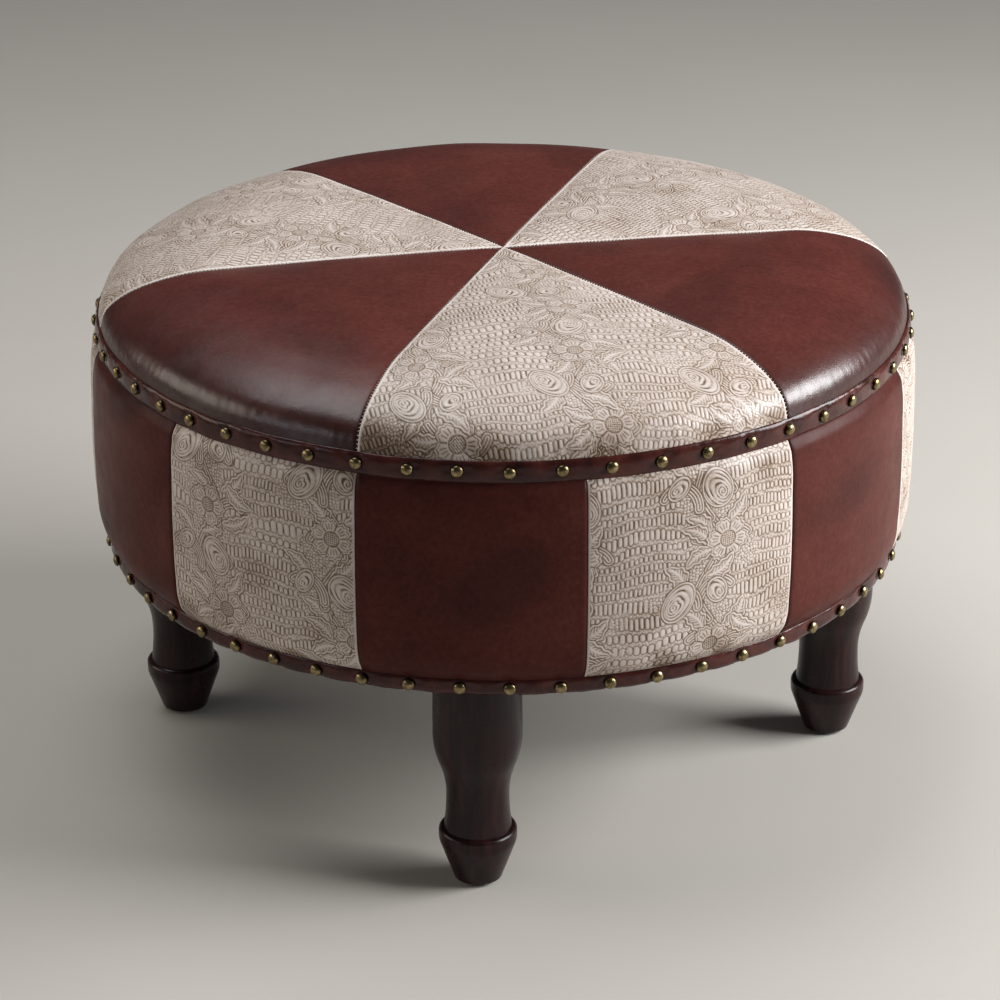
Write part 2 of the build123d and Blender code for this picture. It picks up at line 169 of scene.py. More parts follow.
def wave_noise(seed, x, y, size):
    """Smooth noise at any points, from plane waves of about one size."""
    rng = np.random.default_rng(seed)
    total = np.zeros(np.shape(x))
    for _ in range(WAVE_COUNT):
        angle = rng.uniform(0, 2 * math.pi)
        pitch = size * rng.uniform(0.7, 1.6)
        phase = rng.uniform(0, 2 * math.pi)
        along = x * math.cos(angle) + y * math.sin(angle)
        total = total + np.sin(along * 2 * math.pi / pitch + phase)
    return total / math.sqrt(WAVE_COUNT)


# Meshes

# Shares of the flat layout: one turn round an axis, and the height of an edge strip
TURN_UV = 0.98
STRIP = 0.02


def turn_uv(columns, along):
    """Places in the flat layout of a row round the axis."""
    return np.stack([np.arange(columns) / columns * TURN_UV, np.full(columns, along)], 1)


def zip_rows(first, second):
    """Faces between two rows of vertex numbers, which may have different counts."""
    if len(first) == len(second):
        return np.stack([first[:-1], first[1:], second[1:], second[:-1]], 1), None
    triangles = []
    a = b = 0
    steps_a, steps_b = max(len(first) - 1, 1), max(len(second) - 1, 1)
    while a < len(first) - 1 or b < len(second) - 1:
        next_a = (a + 1) / steps_a if a < len(first) - 1 else 2.0
        next_b = (b + 1) / steps_b if b < len(second) - 1 else 2.0
        if next_a <= next_b:
            triangles.append((first[a], first[a + 1], second[b]))
            a += 1
        else:
            triangles.append((first[a], second[b + 1], second[b]))
            b += 1
    return None, np.array(triangles)


class Skin:
    """Collects rows of points and the faces between them. A row's uv is used by its faces, except
    where a strip, (left, bottom, width, height), gives the faces a place of their own."""

    def __init__(self):
        self.points, self.uvs, self.values = [], [], []
        self.faces = {3: [], 4: []}
        self.count = 0

    def row(self, points, uv, **values):
        points = np.atleast_2d(points)
        numbers = np.arange(self.count, self.count + len(points))
        self.points.append(points)
        self.uvs.append(np.broadcast_to(np.asarray(uv, float), (len(points), 2)))
        self.values.append(values)
        self.count += len(points)
        return numbers

    def join(self, first, second, flip=False, strip=None):
        first, second = np.atleast_1d(first), np.atleast_1d(second)
        own = None
        if strip:
            left, bottom, width, height = strip
            own = {}
            for chain, lift in ((first, 0.0), (second, height)):
                for number, share in zip(chain, np.linspace(0, 1, len(chain))):
                    own[number] = (left + width * share, bottom + lift)
        for faces in zip_rows(first, second):
            if faces is not None and len(faces):
                faces = faces[:, ::-1] if flip else faces
                self.faces[faces.shape[1]].append((faces, own))

    def ring(self, first, second):
        """Join two closed rows, either of which may be a single point."""
        if len(first) == 1 and len(second) == 1:
            return
        if len(first) == 1 or len(second) == 1:
            rim, tip = (second, first[0]) if len(first) == 1 else (first, second[0])
            faces = np.stack([rim, np.roll(rim, -1), np.full(len(rim), tip)], 1)
        else:
            faces = np.stack([first, np.roll(first, -1), np.roll(second, -1), second], 1)
        faces = faces[:, ::-1] if len(first) == 1 else faces
        self.faces[faces.shape[1]].append((faces, "ring"))

    def ring_rows(self, rows, closed=False):
        """Join closed rows one after another, and the last to the first where that closes the mesh."""
        for first, second in zip(rows, [*rows[1:], rows[0]] if closed else rows[1:]):
            self.ring(first, second)

    def join_rows(self, rows, flip=False):
        """Join open rows one after another."""
        for first, second in zip(rows, rows[1:]):
            self.join(first, second, flip=flip)

    def join_edges(self, top, under, bottom, width):
        """Join the top and underside of a cut hide along its two sides and its foot. The strips for
        these edges lie one above another. Returns the place of the next one."""
        for side, flip in ((0, False), (-1, True)):
            outer, inner = np.array([r[side] for r in top]), np.array([r[side] for r in under])
            self.join(outer, inner, flip=flip, strip=(0.01, bottom, width, STRIP))
            bottom += STRIP + 0.01
        self.join(top[-1], under[-1], strip=(0.01, bottom, width, STRIP))
        return bottom + STRIP + 0.01

    def hoop(self, centre, radius, side, up, columns, uv, **values):
        """A ring of points about a centre, or the centre alone where the radius is 0."""
        if radius == 0:
            return self.row(centre, uv, **values)
        turn = np.radians(full_turn(columns))[:, None]
        loop = np.cos(turn) * side + np.sin(turn) * up
        return self.row(centre + loop * radius, uv, **values)

    def make(self, name, material):
        points = np.concatenate(self.points) * MM
        uvs = np.concatenate(self.uvs)
        loops, corners, sizes = [], [], []
        for size in (4, 3):
            for faces, own in self.faces[size]:
                uv = uvs[faces]
                if own == "ring":
                    span = uv[..., 0].max(1) - uv[..., 0].min(1)
                    wrapped = (span > 0.5)[:, None] & (uv[..., 0] < 0.25)
                    uv[..., 0] = np.where(wrapped, uv[..., 0] + TURN_UV, uv[..., 0])
                elif own:
                    uv = np.array([[own[number] for number in face] for face in faces])
                loops.append(faces.ravel())
                corners.append(uv.reshape(-1, 2))
                sizes.append(np.full(len(faces), size))
        loops = np.concatenate(loops).astype(np.int32)
        corners = np.concatenate(corners)
        sizes = np.concatenate(sizes)
        starts = np.concatenate([[0], np.cumsum(sizes)[:-1]]).astype(np.int32)
        mesh = bpy.data.meshes.new(name)
        mesh.vertices.add(len(points))
        mesh.vertices.foreach_set("co", points.astype(np.float32).ravel())
        mesh.loops.add(len(loops))
        mesh.loops.foreach_set("vertex_index", loops)
        mesh.polygons.add(len(starts))
        mesh.polygons.foreach_set("loop_start", starts)
        mesh.polygons.foreach_set("use_smooth", np.full(len(starts), True))
        layer = mesh.uv_layers.new(name="flat")
        layer.data.foreach_set("uv", corners.astype(np.float32).ravel())
        for key in sorted({k for v in self.values for k in v}):
            parts = [
                np.broadcast_to(np.asarray(v.get(key, 0.0), float), (len(p),))
                for v, p in zip(self.values, self.points)
            ]
            attribute = mesh.attributes.new(key, "FLOAT", "POINT")
            attribute.data.foreach_set("value", np.concatenate(parts).astype(np.float32))
        mesh.update(calc_edges=True)
        first = points[loops[starts]]
        second, third = points[loops[starts + 1]], points[loops[starts + 2]]
        if np.einsum("ij,ij->", first, np.cross(second, third)) < 0:
            mesh.flip_normals()
        piece = bpy.data.objects.new(name, mesh)
        bpy.context.scene.collection.objects.link(piece)
        mesh.materials.append(material)
        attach(piece, "root")
        return piece


def lathe(skin, profile, columns, closed):
    """Turn a profile of (radius, height) points about the drum's axis."""
    profile = np.asarray(profile, float)
    length = lengths_along(profile)
    rows = []
    for (radius, height), along in zip(profile, 0.96 * length / length[-1]):
        if radius < 1e-6:
            rows.append(skin.row([0, 0, height], [TURN_UV / 2, along]))
        else:
            points = around(np.full(columns, radius), full_turn(columns), height)
            rows.append(skin.row(points, turn_uv(columns, along)))
    skin.ring_rows(rows, closed)


# Materials


class Paint:
    """A node material with short ways to add its nodes."""

    def __init__(self, name, **inputs):
        self.material = bpy.data.materials.new(name)
        self.material.use_nodes = True
        self.tree = self.material.node_tree
        self.shader = self.tree.nodes["Principled BSDF"]
        for key, value in inputs.items():
            self.shader.inputs[key.replace("_", " ")].default_value = value
        self.place = self.node("ShaderNodeTexCoord").outputs["Object"]

    def node(self, kind, **values):
        made = self.tree.nodes.new(kind)
        for key, value in values.items():
            if hasattr(made, key):
                setattr(made, key, value)
            else:
                made.inputs[key].default_value = value
        return made

    def link(self, source, target):
        self.tree.links.new(source, target)

    def value(self, name):
        return self.node("ShaderNodeAttribute", attribute_name=name).outputs["Fac"]

    def noise(self, scale, detail=3.0, roughness=0.5, stretch=None, distortion=0.0):
        made = self.node("ShaderNodeTexNoise", Scale=scale, Detail=detail, Roughness=roughness)
        made.inputs["Distortion"].default_value = distortion
        self.link(self.stretched(stretch), made.inputs["Vector"])
        return made.outputs["Fac"]

    def stretched(self, stretch):
        if not stretch:
            return self.place
        mapping = self.node("ShaderNodeMapping")
        mapping.inputs["Scale"].default_value = stretch
        self.link(self.place, mapping.inputs["Vector"])
        return mapping.outputs["Vector"]

    def cells(self, scale):
        made = self.node("ShaderNodeTexVoronoi", feature="DISTANCE_TO_EDGE", Scale=scale)
        self.link(self.place, made.inputs["Vector"])
        return made.outputs["Distance"]

    def math(self, operation, first, second=0.0):
        made = self.node("ShaderNodeMath", operation=operation)
        for socket, value in zip(made.inputs, (first, second)):
            if isinstance(value, (int, float)):
                socket.default_value = value
            else:
                self.link(value, socket)
        return made.outputs["Value"]

    def ramp(self, factor, *stops):
        made = self.node("ShaderNodeValToRGB")
        elements = made.color_ramp.elements
        while len(elements) < len(stops):
            elements.new(0.5)
        for element, (position, colour) in zip(elements, stops):
            element.position = position
            element.color = (*colour, 1.0)
        self.link(factor, made.inputs["Fac"])
        return made.outputs["Color"]

    def fit(self, factor, low, high, start=0.0, end=1.0):
        made = self.node("ShaderNodeMapRange")
        made.inputs["From Min"].default_value = start
        made.inputs["From Max"].default_value = end
        made.inputs["To Min"].default_value = low
        made.inputs["To Max"].default_value = high
        self.link(factor, made.inputs["Value"])
        return made.outputs["Result"]

    def mix(self, factor, first, second, blend="MIX"):
        """Blend a colour from other nodes with a fixed one."""
        made = self.node("ShaderNodeMix", data_type="RGBA", blend_type=blend)
        sockets = {s.identifier: s for s in made.inputs}
        self.link(factor, sockets["Factor_Float"])
        self.link(first, sockets["A_Color"])
        sockets["B_Color"].default_value = (*second, 1.0)
        return {s.identifier: s for s in made.outputs}["Result_Color"]

    def colour(self, source):
        self.link(source, self.shader.inputs["Base Color"])

    def rough(self, source):
        self.link(source, self.shader.inputs["Roughness"])

    def bump(self, *layers):
        """Stack bumps, each (height, distance in millimetres, strength)."""
        normal = None
        for height, distance, strength in layers:
            made = self.node("ShaderNodeBump", Strength=strength, Distance=distance * MM)
            self.link(height, made.inputs["Height"])
            if normal:
                self.link(normal, made.inputs["Normal"])
            normal = made.outputs["Normal"]
        self.link(normal, self.shader.inputs["Normal"])


def brown_leather():
    paint = Paint("brown_leather", IOR=1.5)
    cloud = paint.noise(14.0, 4.0, 0.55)
    mottle = paint.noise(230.0, 4.0, 0.6)
    fine = paint.noise(900.0, 3.0, 0.6)
    tone = paint.math("ADD", paint.math("MULTIPLY", cloud, 0.40), paint.math("MULTIPLY", mottle, 0.38))
    tone = paint.math("ADD", tone, paint.math("MULTIPLY", fine, 0.22))
    base = paint.ramp(
        tone,
        (0.36, (0.059, 0.0148, 0.0120)),
        (0.50, (0.092, 0.0224, 0.0172)),
        (0.64, (0.121, 0.0335, 0.0255)),
    )
    # The dark mix is partly wear and partly painted shade, by the attribute that each piece carries.
    paint.colour(paint.mix(paint.value("wear"), base, (0.022, 0.0092, 0.0085)))
    gloss = paint.value("gloss")
    rough = paint.fit(paint.noise(60.0, 4.0, 0.6), 0.33, 0.43, 0.3, 0.7)
    paint.rough(paint.math("SUBTRACT", rough, paint.math("MULTIPLY", gloss, 0.08)))
    paint.link(paint.fit(gloss, 0.07, 0.55), paint.shader.inputs["Specular IOR Level"])
    grain = paint.cells(650.0)
    crease = paint.noise(190.0, 4.0, 0.65, distortion=0.8)
    paint.bump((grain, 0.12, 0.35), (fine, 0.10, 0.25), (crease, 0.45, 0.30))
    return paint.material


def cream_leather():
    paint = Paint("cream_leather", IOR=1.45)
    rub = paint.value("rub")
    fine = paint.noise(520.0, 4.0, 0.65)
    cloud = paint.noise(26.0, 4.0, 0.6)
    depth = paint.math("ADD", rub, paint.fit(fine, -0.07, 0.07, 0.3, 0.7))
    base = paint.ramp(
        depth,
        (0.00, (0.755, 0.685, 0.645)),
        (0.22, (0.590, 0.512, 0.465)),
        (0.50, (0.315, 0.236, 0.176)),
        (0.75, (0.140, 0.088, 0.056)),
        (1.00, (0.070, 0.036, 0.022)),
    )
    shade = paint.fit(cloud, 0.0, 0.30, 0.38, 0.72)
    paint.colour(paint.mix(shade, base, (0.46, 0.37, 0.28), "MULTIPLY"))
    rough = paint.math("ADD", paint.fit(rub, 0.35, 0.52), paint.fit(fine, -0.05, 0.05))
    paint.rough(paint.math("SUBTRACT", rough, paint.math("MULTIPLY", paint.value("gloss"), 0.12)))
    paint.bump((fine, 0.10, 0.3), (paint.cells(900.0), 0.05, 0.2))
    return paint.material


def trim_leather():
    paint = Paint("trim_leather", IOR=1.5, Specular_IOR_Level=0.28)
    cloud = paint.noise(40.0, 4.0, 0.6)
    base = paint.ramp(
        cloud,
        (0.35, (0.026, 0.0080, 0.0070)),
        (0.52, (0.054, 0.0138, 0.0110)),
        (0.68, (0.084, 0.0205, 0.0155)),
    )
    paint.colour(base)
    paint.rough(paint.fit(paint.noise(110.0, 4.0, 0.6), 0.15, 0.30, 0.3, 0.7))
    fine = paint.noise(650.0, 3.0, 0.6)
    crease = paint.noise(150.0, 4.0, 0.6, distortion=1.0)
    paint.bump((fine, 0.08, 0.3), (crease, 0.5, 0.35))
    return paint.material


def antique_brass():
    paint = Paint("antique_brass", Metallic=1.0)
    tarnish = paint.noise(330.0, 4.0, 0.65)
    bright = paint.ramp(
        tarnish,
        (0.30, (0.095, 0.072, 0.036)),
        (0.50, (0.240, 0.185, 0.092)),
        (0.72, (0.400, 0.320, 0.175)),
    )
    paint.colour(paint.mix(paint.value("crevice"), bright, (0.022, 0.016, 0.009)))
    paint.rough(paint.fit(tarnish, 0.40, 0.22, 0.3, 0.7))
    paint.bump((paint.noise(900.0, 3.0, 0.6), 0.08, 0.3))
    return paint.material


def turned_wood():
    paint = Paint("dark_wood", IOR=1.45, Specular_IOR_Level=0.22, Coat_Weight=0.12, Coat_Roughness=0.12)
    grain = paint.noise(14.0, 6.0, 0.65, stretch=(9.0, 9.0, 0.9))
    pores = paint.noise(60.0, 4.0, 0.7, stretch=(12.0, 12.0, 0.7))
    base = paint.ramp(
        grain,
        (0.32, (0.0070, 0.0028, 0.0028)),
        (0.52, (0.0160, 0.0056, 0.0052)),
        (0.72, (0.0380, 0.0115, 0.0105)),
    )
    paint.colour(base)
    paint.rough(paint.fit(paint.noise(45.0, 4.0, 0.6), 0.24, 0.38, 0.3, 0.7))
    paint.bump((pores, 0.12, 0.2), (paint.noise(700.0, 3.0, 0.6), 0.05, 0.2))
    return paint.material


def wood_like(name, dark, light, roughness):
    paint = Paint(name, Roughness=roughness)
    grain = paint.noise(9.0, 6.0, 0.6, stretch=(1.0, 14.0, 14.0), distortion=0.6)
    fibre = paint.noise(160.0, 3.0, 0.6, stretch=(0.4, 6.0, 6.0))
    paint.colour(paint.ramp(grain, (0.35, dark), (0.65, light)))
    paint.bump((fibre, 0.2, 0.3))
    return paint.material


def fibrous(name, dark, light, scale, roughness, distance=0.4):
    paint = Paint(name, Roughness=roughness)
    fibre = paint.noise(scale, 6.0, 0.7, distortion=0.8)
    paint.colour(paint.ramp(fibre, (0.35, dark), (0.68, light)))
    paint.bump((fibre, distance, 0.5))
    return paint.material


def woven(name, dark, light, pitch):
    paint = Paint(name, Roughness=0.85)
    waves = []
    for direction in ("X", "Y"):
        wave = paint.node("ShaderNodeTexWave", bands_direction=direction, Scale=0.314 / pitch / MM)
        paint.link(paint.place, wave.inputs["Vector"])
        waves.append(wave.outputs["Fac"])
    weave = paint.math("MULTIPLY", *waves)
    paint.colour(paint.ramp(weave, (0.1, dark), (0.8, light)))
    paint.bump((weave, 0.15, 0.5))
    return paint.material


def plated_steel():
    paint = Paint("zinc_steel", Metallic=1.0)
    spangle = paint.noise(420.0, 4.0, 0.6)
    paint.colour(paint.ramp(spangle, (0.3, (0.34, 0.35, 0.36)), (0.7, (0.58, 0.59, 0.60))))
    paint.rough(paint.fit(spangle, 0.30, 0.46, 0.3, 0.7))
    return paint.material


def moulded_plastic():
    paint = Paint("glide_plastic", Roughness=0.42)
    grain = paint.noise(900.0, 3.0, 0.6)
    paint.colour(paint.ramp(grain, (0.3, (0.020, 0.019, 0.018)), (0.7, (0.034, 0.032, 0.030))))
    paint.bump((grain, 0.05, 0.3))
    return paint.material


def thread():
    paint = Paint("thread", Roughness=0.6)
    twist = paint.noise(1500.0, 2.0, 0.5)
    paint.colour(paint.ramp(twist, (0.3, (0.50, 0.41, 0.33)), (0.7, (0.72, 0.63, 0.54))))
    paint.bump((twist, 0.1, 0.4))
    return paint.material


materials = {
    "brown_leather": brown_leather(),
    "cream_leather": cream_leather(),
    "trim_leather": trim_leather(),
    "antique_brass": antique_brass(),
    "dark_wood": turned_wood(),
    "plywood": wood_like("plywood", (0.42, 0.27, 0.14), (0.62, 0.44, 0.26), 0.6),
    "softwood": wood_like("softwood", (0.50, 0.34, 0.18), (0.70, 0.53, 0.33), 0.6),
    "hardboard": fibrous("hardboard", (0.10, 0.055, 0.03), (0.17, 0.10, 0.055), 300.0, 0.7, 0.1),
    "card": fibrous("card", (0.30, 0.24, 0.17), (0.42, 0.35, 0.26), 400.0, 0.8, 0.1),
    "foam": fibrous("foam", (0.55, 0.50, 0.36), (0.80, 0.75, 0.60), 500.0, 0.95),
    "wadding": fibrous("wadding", (0.70, 0.70, 0.68), (0.86, 0.86, 0.84), 220.0, 0.95, 1.0),
    "cambric": woven("cambric", (0.008, 0.008, 0.009), (0.030, 0.030, 0.032), 0.8),
    "zinc_steel": plated_steel(),
    "glide_plastic": moulded_plastic(),
    "thread": thread(),
}
LEATHERS = ("cream", "brown")


# The embossed hide: croc rows, pebbles and floral tooling on a square that repeats

HIDE = 360.0
HIDE_CELLS = 1080
HIDE_STEP = HIDE / HIDE_CELLS
VINES = 3


class Hide:
    """Height and tone of the embossed leather, on a grid that repeats every HIDE millimetres. Tone is
    0 on plain leather, up to 1 in a dark groove and down to -1 on a pale ridge."""

    def __init__(self, seed):
        self.rng = np.random.default_rng(seed)
        axis = np.arange(HIDE_CELLS) * HIDE_STEP
        self.x, self.y = np.meshgrid(axis, axis, indexing="ij")
        self.warp = [periodic_noise(seed + k, HIDE_CELLS, 66) for k in range(2)]
        self.cloud = periodic_noise(seed + 5, HIDE_CELLS, 72)
        self.fleck = periodic_noise(seed + 6, HIDE_CELLS, 9)
        self.height, self.tone, between = self.croc(seed + 20)
        pebble_height, pebble_tone = self.pebbles(2.8, seed + 9)
        near_vine = self.vine_distance()
        patch = smoothstep(0.40, 0.80, 0.8 * self.cloud + 0.85 * bell(near_vine, 27.0))
        patch = np.maximum(patch, 0.55 * between)
        self.height += (pebble_height - self.height) * patch
        self.tone += (pebble_tone - self.tone) * patch
        self.tooling()

    def croc(self, seed):
        """Rows of upright rounded bars, each a little out of true, fine in some bands and broad in
        others."""
        heights = self.rng.uniform(8.8, 13.0, 33)
        edges = np.concatenate([[0], np.cumsum(heights)]) * HIDE / heights.sum()
        x = self.x + 1.3 * self.warp[0]
        y = np.mod(self.y + 4.5 * self.warp[1], HIDE)
        row = np.clip(np.searchsorted(edges, y, side="right") - 1, 0, len(heights) - 1)
        broad = np.repeat(self.rng.random(11) < 0.28, 3)
        counts = np.where(broad, self.rng.integers(60, 70, 33), self.rng.integers(82, 104, 33))
        phase = self.rng.uniform(0, 1, len(heights))
        pitch = HIDE / counts[row]
        tall = np.diff(edges)[row]
        place = x / pitch + phase[row]
        bar = np.floor(place).astype(int) % counts[row]
        odd = np.random.default_rng(seed).uniform(-1, 1, (4, len(heights), counts.max()))[:, row, bar]
        across = (np.mod(place, 1) - 0.5) * pitch + 0.22 * odd[0]
        up = y - edges[row] - tall / 2 + 0.7 * odd[1]
        half = pitch / 2 - 0.22 + 0.12 * odd[2]
        out = np.abs(up) - (tall / 2 - 1.4 - half + 0.6 * odd[3])
        edge = np.hypot(across, np.maximum(out, 0)) - half
        depth = 0.84 + 0.26 * self.fleck
        groove = bell(edge - 0.10, 0.47) * (1 - 0.25 * smoothstep(0.2, 1.2, out)) * depth
        crown = smoothstep(-0.4, -1.4, edge)
        between = smoothstep(0.4, 1.2, edge)
        height = 0.50 + 0.16 * crown + 0.10 * between - 0.45 * groove
        return height, groove - 0.20 * crown - 0.10 * between, between

    def pebbles(self, size, seed):
        """Rounded pebbles between the cells of a jittered grid."""
        cells = int(round(HIDE / size))
        pitch = HIDE / cells
        jitter = np.random.default_rng(seed).uniform(0.12, 0.88, (cells, cells, 2))
        column, line = np.floor(self.x / pitch).astype(int), np.floor(self.y / pitch).astype(int)
        nearest = np.full(self.x.shape, 1e9)
        second = nearest.copy()
        for i in (-1, 0, 1):
            for j in (-1, 0, 1):
                spot = jitter[(column + i) % cells, (line + j) % cells]
                distance = np.hypot(
                    (column + i + spot[..., 0]) * pitch - self.x,
                    (line + j + spot[..., 1]) * pitch - self.y,
                )
                second = np.minimum(second, np.maximum(nearest, distance))
                nearest = np.minimum(nearest, distance)
        wall = second - nearest
        tone = 0.75 * smoothstep(0.65, 0.05, wall) - 0.30 * smoothstep(0.9, 1.7, wall)
        return 0.65 * smoothstep(0.0, 1.3, wall), tone

    def vine_path(self, vine, y):
        lean = self.vine_lean[vine]
        return (vine + 0.5) * HIDE / VINES + 10.0 * np.sin(2 * math.pi * (4 * y / HIDE) + lean)

    def vine_distance(self):
        self.vine_lean = self.rng.uniform(0, 2 * math.pi, VINES)
        gaps = []
        for vine in range(VINES):
            gap = np.abs(self.x - self.vine_path(vine, self.y))
            gaps.append(np.minimum(gap, HIDE - gap))
        return np.minimum.reduce(gaps)

    def stamp(self, centre, reach, angle, draw):
        """Draw a motif in a window round its centre: it returns its mask, ridges and grooves, and the
        height that they stand on."""
        cells = int(reach / HIDE_STEP) + 2
        origin = np.round(np.asarray(centre) / HIDE_STEP).astype(int)
        span = np.arange(-cells, cells + 1)
        window = np.ix_((origin[0] + span) % HIDE_CELLS, (origin[1] + span) % HIDE_CELLS)
        dx, dy = np.meshgrid(span * HIDE_STEP, span * HIDE_STEP, indexing="ij")
        turn = math.radians(angle)
        a = dx * math.cos(turn) + dy * math.sin(turn)
        b = -dx * math.sin(turn) + dy * math.cos(turn)
        mask, ridge, groove, ground = draw(a, b)
        height = ground + 0.22 * ridge - 0.50 * groove
        tone = groove * (0.90 + 0.2 * self.fleck[window]) - 0.32 * ridge
        self.height[window] += (height - self.height[window]) * mask
        self.tone[window] += (tone - self.tone[window]) * mask

    def flower(self, radius, petals):
        def draw(a, b):
            rho, theta = np.hypot(a, b), np.arctan2(b, a)
            swing = np.abs(np.cos(petals * theta / 2))
            rim = radius * (0.68 + 0.32 * swing**0.55) + 0.9 * swing * np.cos(4 * petals * theta)
            dip = rho - rim
            cut = math.pi / petals
            valley = np.abs(np.mod(theta, 2 * cut) - cut)
            middle = np.mod(theta + cut, 2 * cut) - cut
            ridge = bell(dip + 0.9, 0.60)
            groove = np.maximum(bell(dip - 0.4, 0.58), 0.8 * bell(dip + 2.2, 0.50))
            between = bell(rho * np.sin(np.minimum(valley, 1.5)), 0.55)
            groove = np.maximum(groove, between * (rho > 0.40 * radius) * (dip < 0))
            for place in (-0.40, 0.0, 0.40):
                vein = bell(rho * (middle - place * cut), 0.45) * (rho > 0.46 * radius)
                groove = np.maximum(groove, 0.75 * vein * (rho < 0.74 * radius))
            heart = smoothstep(0.33, 0.29, rho / radius)
            dots = np.sin(a * 2.5) * np.sin(b * 2.5)
            groove = groove * (1 - heart) + heart * smoothstep(0.1, -0.5, dots)
            ridge = ridge * (1 - heart) + heart * smoothstep(0.3, 0.9, dots)
            groove = np.maximum(groove, 0.9 * bell(rho - 0.34 * radius, 0.55))
            ground = 0.50 + 0.30 * swing * smoothstep(0.25, 0.75, rho / radius)
            return smoothstep(1.5, 0.3, dip), ridge, groove, ground

        return draw

    def bud(self, radius, turns, hand):
        def draw(a, b):
            a = a / 0.74
            rim = np.hypot(a, b) - radius * (1 + 0.06 * np.sin(2 * np.arctan2(b, a) + hand))
            b = b + 0.42 * np.maximum(-rim, 0)
            a = a - 0.20 * np.maximum(-rim, 0) * hand
            rho, theta = np.hypot(a, b), np.arctan2(b, a) * hand
            pitch = 1.4 * radius / turns
            coil = rho + 1.3 * np.sin(2 * theta + 0.7) * smoothstep(1.5, 6.0, rho)
            phase = np.mod(coil / pitch - theta / (2 * math.pi), 1) - 0.5
            inside = smoothstep(-1.2, -2.0, rim)
            broken = 0.35 + 0.65 * smoothstep(-0.6, 0.2, np.sin(2.5 * theta + 1.7 * rho / pitch))
            ridge = np.maximum(bell(phase * pitch, 0.60) * inside * broken, bell(rim + 0.5, 0.60))
            groove = np.maximum(
                bell((0.5 - np.abs(phase)) * pitch, 0.55) * inside * broken,
                np.maximum(bell(rim - 0.8, 0.55), 0.8 * bell(rim + 1.8, 0.50)),
            )
            ground = 0.62 + 0.12 * rim / radius
            return smoothstep(1.9, 0.8, rim), ridge, groove, ground

        return draw

    def leaf(self, length, width):
        def draw(a, b):
            share = np.clip(a / length + 0.5, 0, 1)
            bend = b - 0.16 * length * (share - 0.5) ** 2 * 4
            wide = width / 2 * np.sin(math.pi * share**0.8) ** 0.8 * (1 + 0.12 * np.sin(share * 24))
            inside = wide - np.abs(bend)
            held = smoothstep(length / 2, length / 2 - 1.0, np.abs(a))
            ridge = np.maximum(bell(inside - 0.9, 0.60), 0.8 * bell(bend, 0.55) * (inside > 1.0))
            slant = np.mod(a - 0.9 * np.abs(bend), 3.2) - 1.6
            hatch = 0.75 * bell(slant, 0.5) * smoothstep(1.6, 2.4, inside)
            hatch = hatch * smoothstep(0.9, 1.5, np.abs(bend))
            groove = np.maximum(bell(inside + 0.5, 0.6), np.maximum(0.8 * bell(inside - 2.3, 0.5), hatch))
            ground = 0.52 + 0.3 * np.clip(inside / (width / 2), 0, 1)
            return smoothstep(-1.5, -0.4, inside) * held, ridge * held, groove * held, ground

        return draw

    def stem(self, points):
        def draw(a, b):
            near = np.full(a.shape, 1e9)
            for px, py in points:
                near = np.minimum(near, np.hypot(a - px, b - py))
            ridge = np.maximum(bell(near - 1.3, 0.55), 0.8 * bell(near - 3.5, 0.55))
            groove = np.maximum(bell(near, 0.6), np.maximum(bell(near - 2.4, 0.5), bell(near - 4.6, 0.5)))
            return smoothstep(5.4, 4.8, near), ridge, groove, np.full(a.shape, 0.62)

        return draw

    def tooling(self):
        """Vines of stems, leaves, buds and flowers up the hide."""
        rng = self.rng
        step = HIDE / 16
        for vine in range(VINES):
            share = np.linspace(0, 1, 40)
            for number in range(16):
                y = (number + share) * step
                line = np.stack([self.vine_path(vine, y), y], 1)
                self.stamp(line[0], 34.0, 0.0, self.stem(line - line[0]))
            for number in range(8):
                y = number * 2 * step + rng.uniform(-2, 2)
                side = (-1) ** (number // 2)
                middle = np.array([self.vine_path(vine, y), y])
                for hand in (1, -1):
                    sweep = np.radians(np.linspace(0, rng.uniform(110, 150), 60))
                    reach = rng.uniform(14, 18)
                    arc = np.stack([hand * reach * (1 - np.cos(sweep)), 1.25 * reach * np.sin(sweep)], 1)
                    self.stamp(middle + [0, rng.uniform(-16, -6)], 44.0, 0.0, self.stem(arc))
                for hand in (1, -1):
                    angle = 90 - hand * rng.uniform(35, 60)
                    spot = middle + [hand * rng.uniform(16, 22), step * rng.uniform(0.8, 1.2)]
                    self.stamp(spot, 23.0, angle, self.leaf(rng.uniform(27, 34), rng.uniform(13, 17)))
                if number % 2 == 0:
                    for lean in (28, -32):
                        angle = (180 if side > 0 else 0) + lean
                        spot = middle + [-side * 21.0, -lean * 0.34]
                        self.stamp(spot, 22.0, angle, self.leaf(30.0, 13.5))
                    draw = self.flower(rng.uniform(18.0, 20.0), rng.integers(5, 7))
                    self.stamp(middle + [side * rng.uniform(6, 12), 0], 25.0, rng.uniform(0, 90), draw)
                else:
                    draw = self.bud(rng.uniform(16.5, 19.0), 7.0, side)
                    self.stamp(middle + [side * 17.0, 0], 24.0, side * rng.uniform(15, 45), draw)
                    draw = self.bud(rng.uniform(10.0, 12.0), 4.5, -side)
                    self.stamp(middle + [-side * 17.0, 5.0], 17.0, -side * rng.uniform(20, 60), draw)

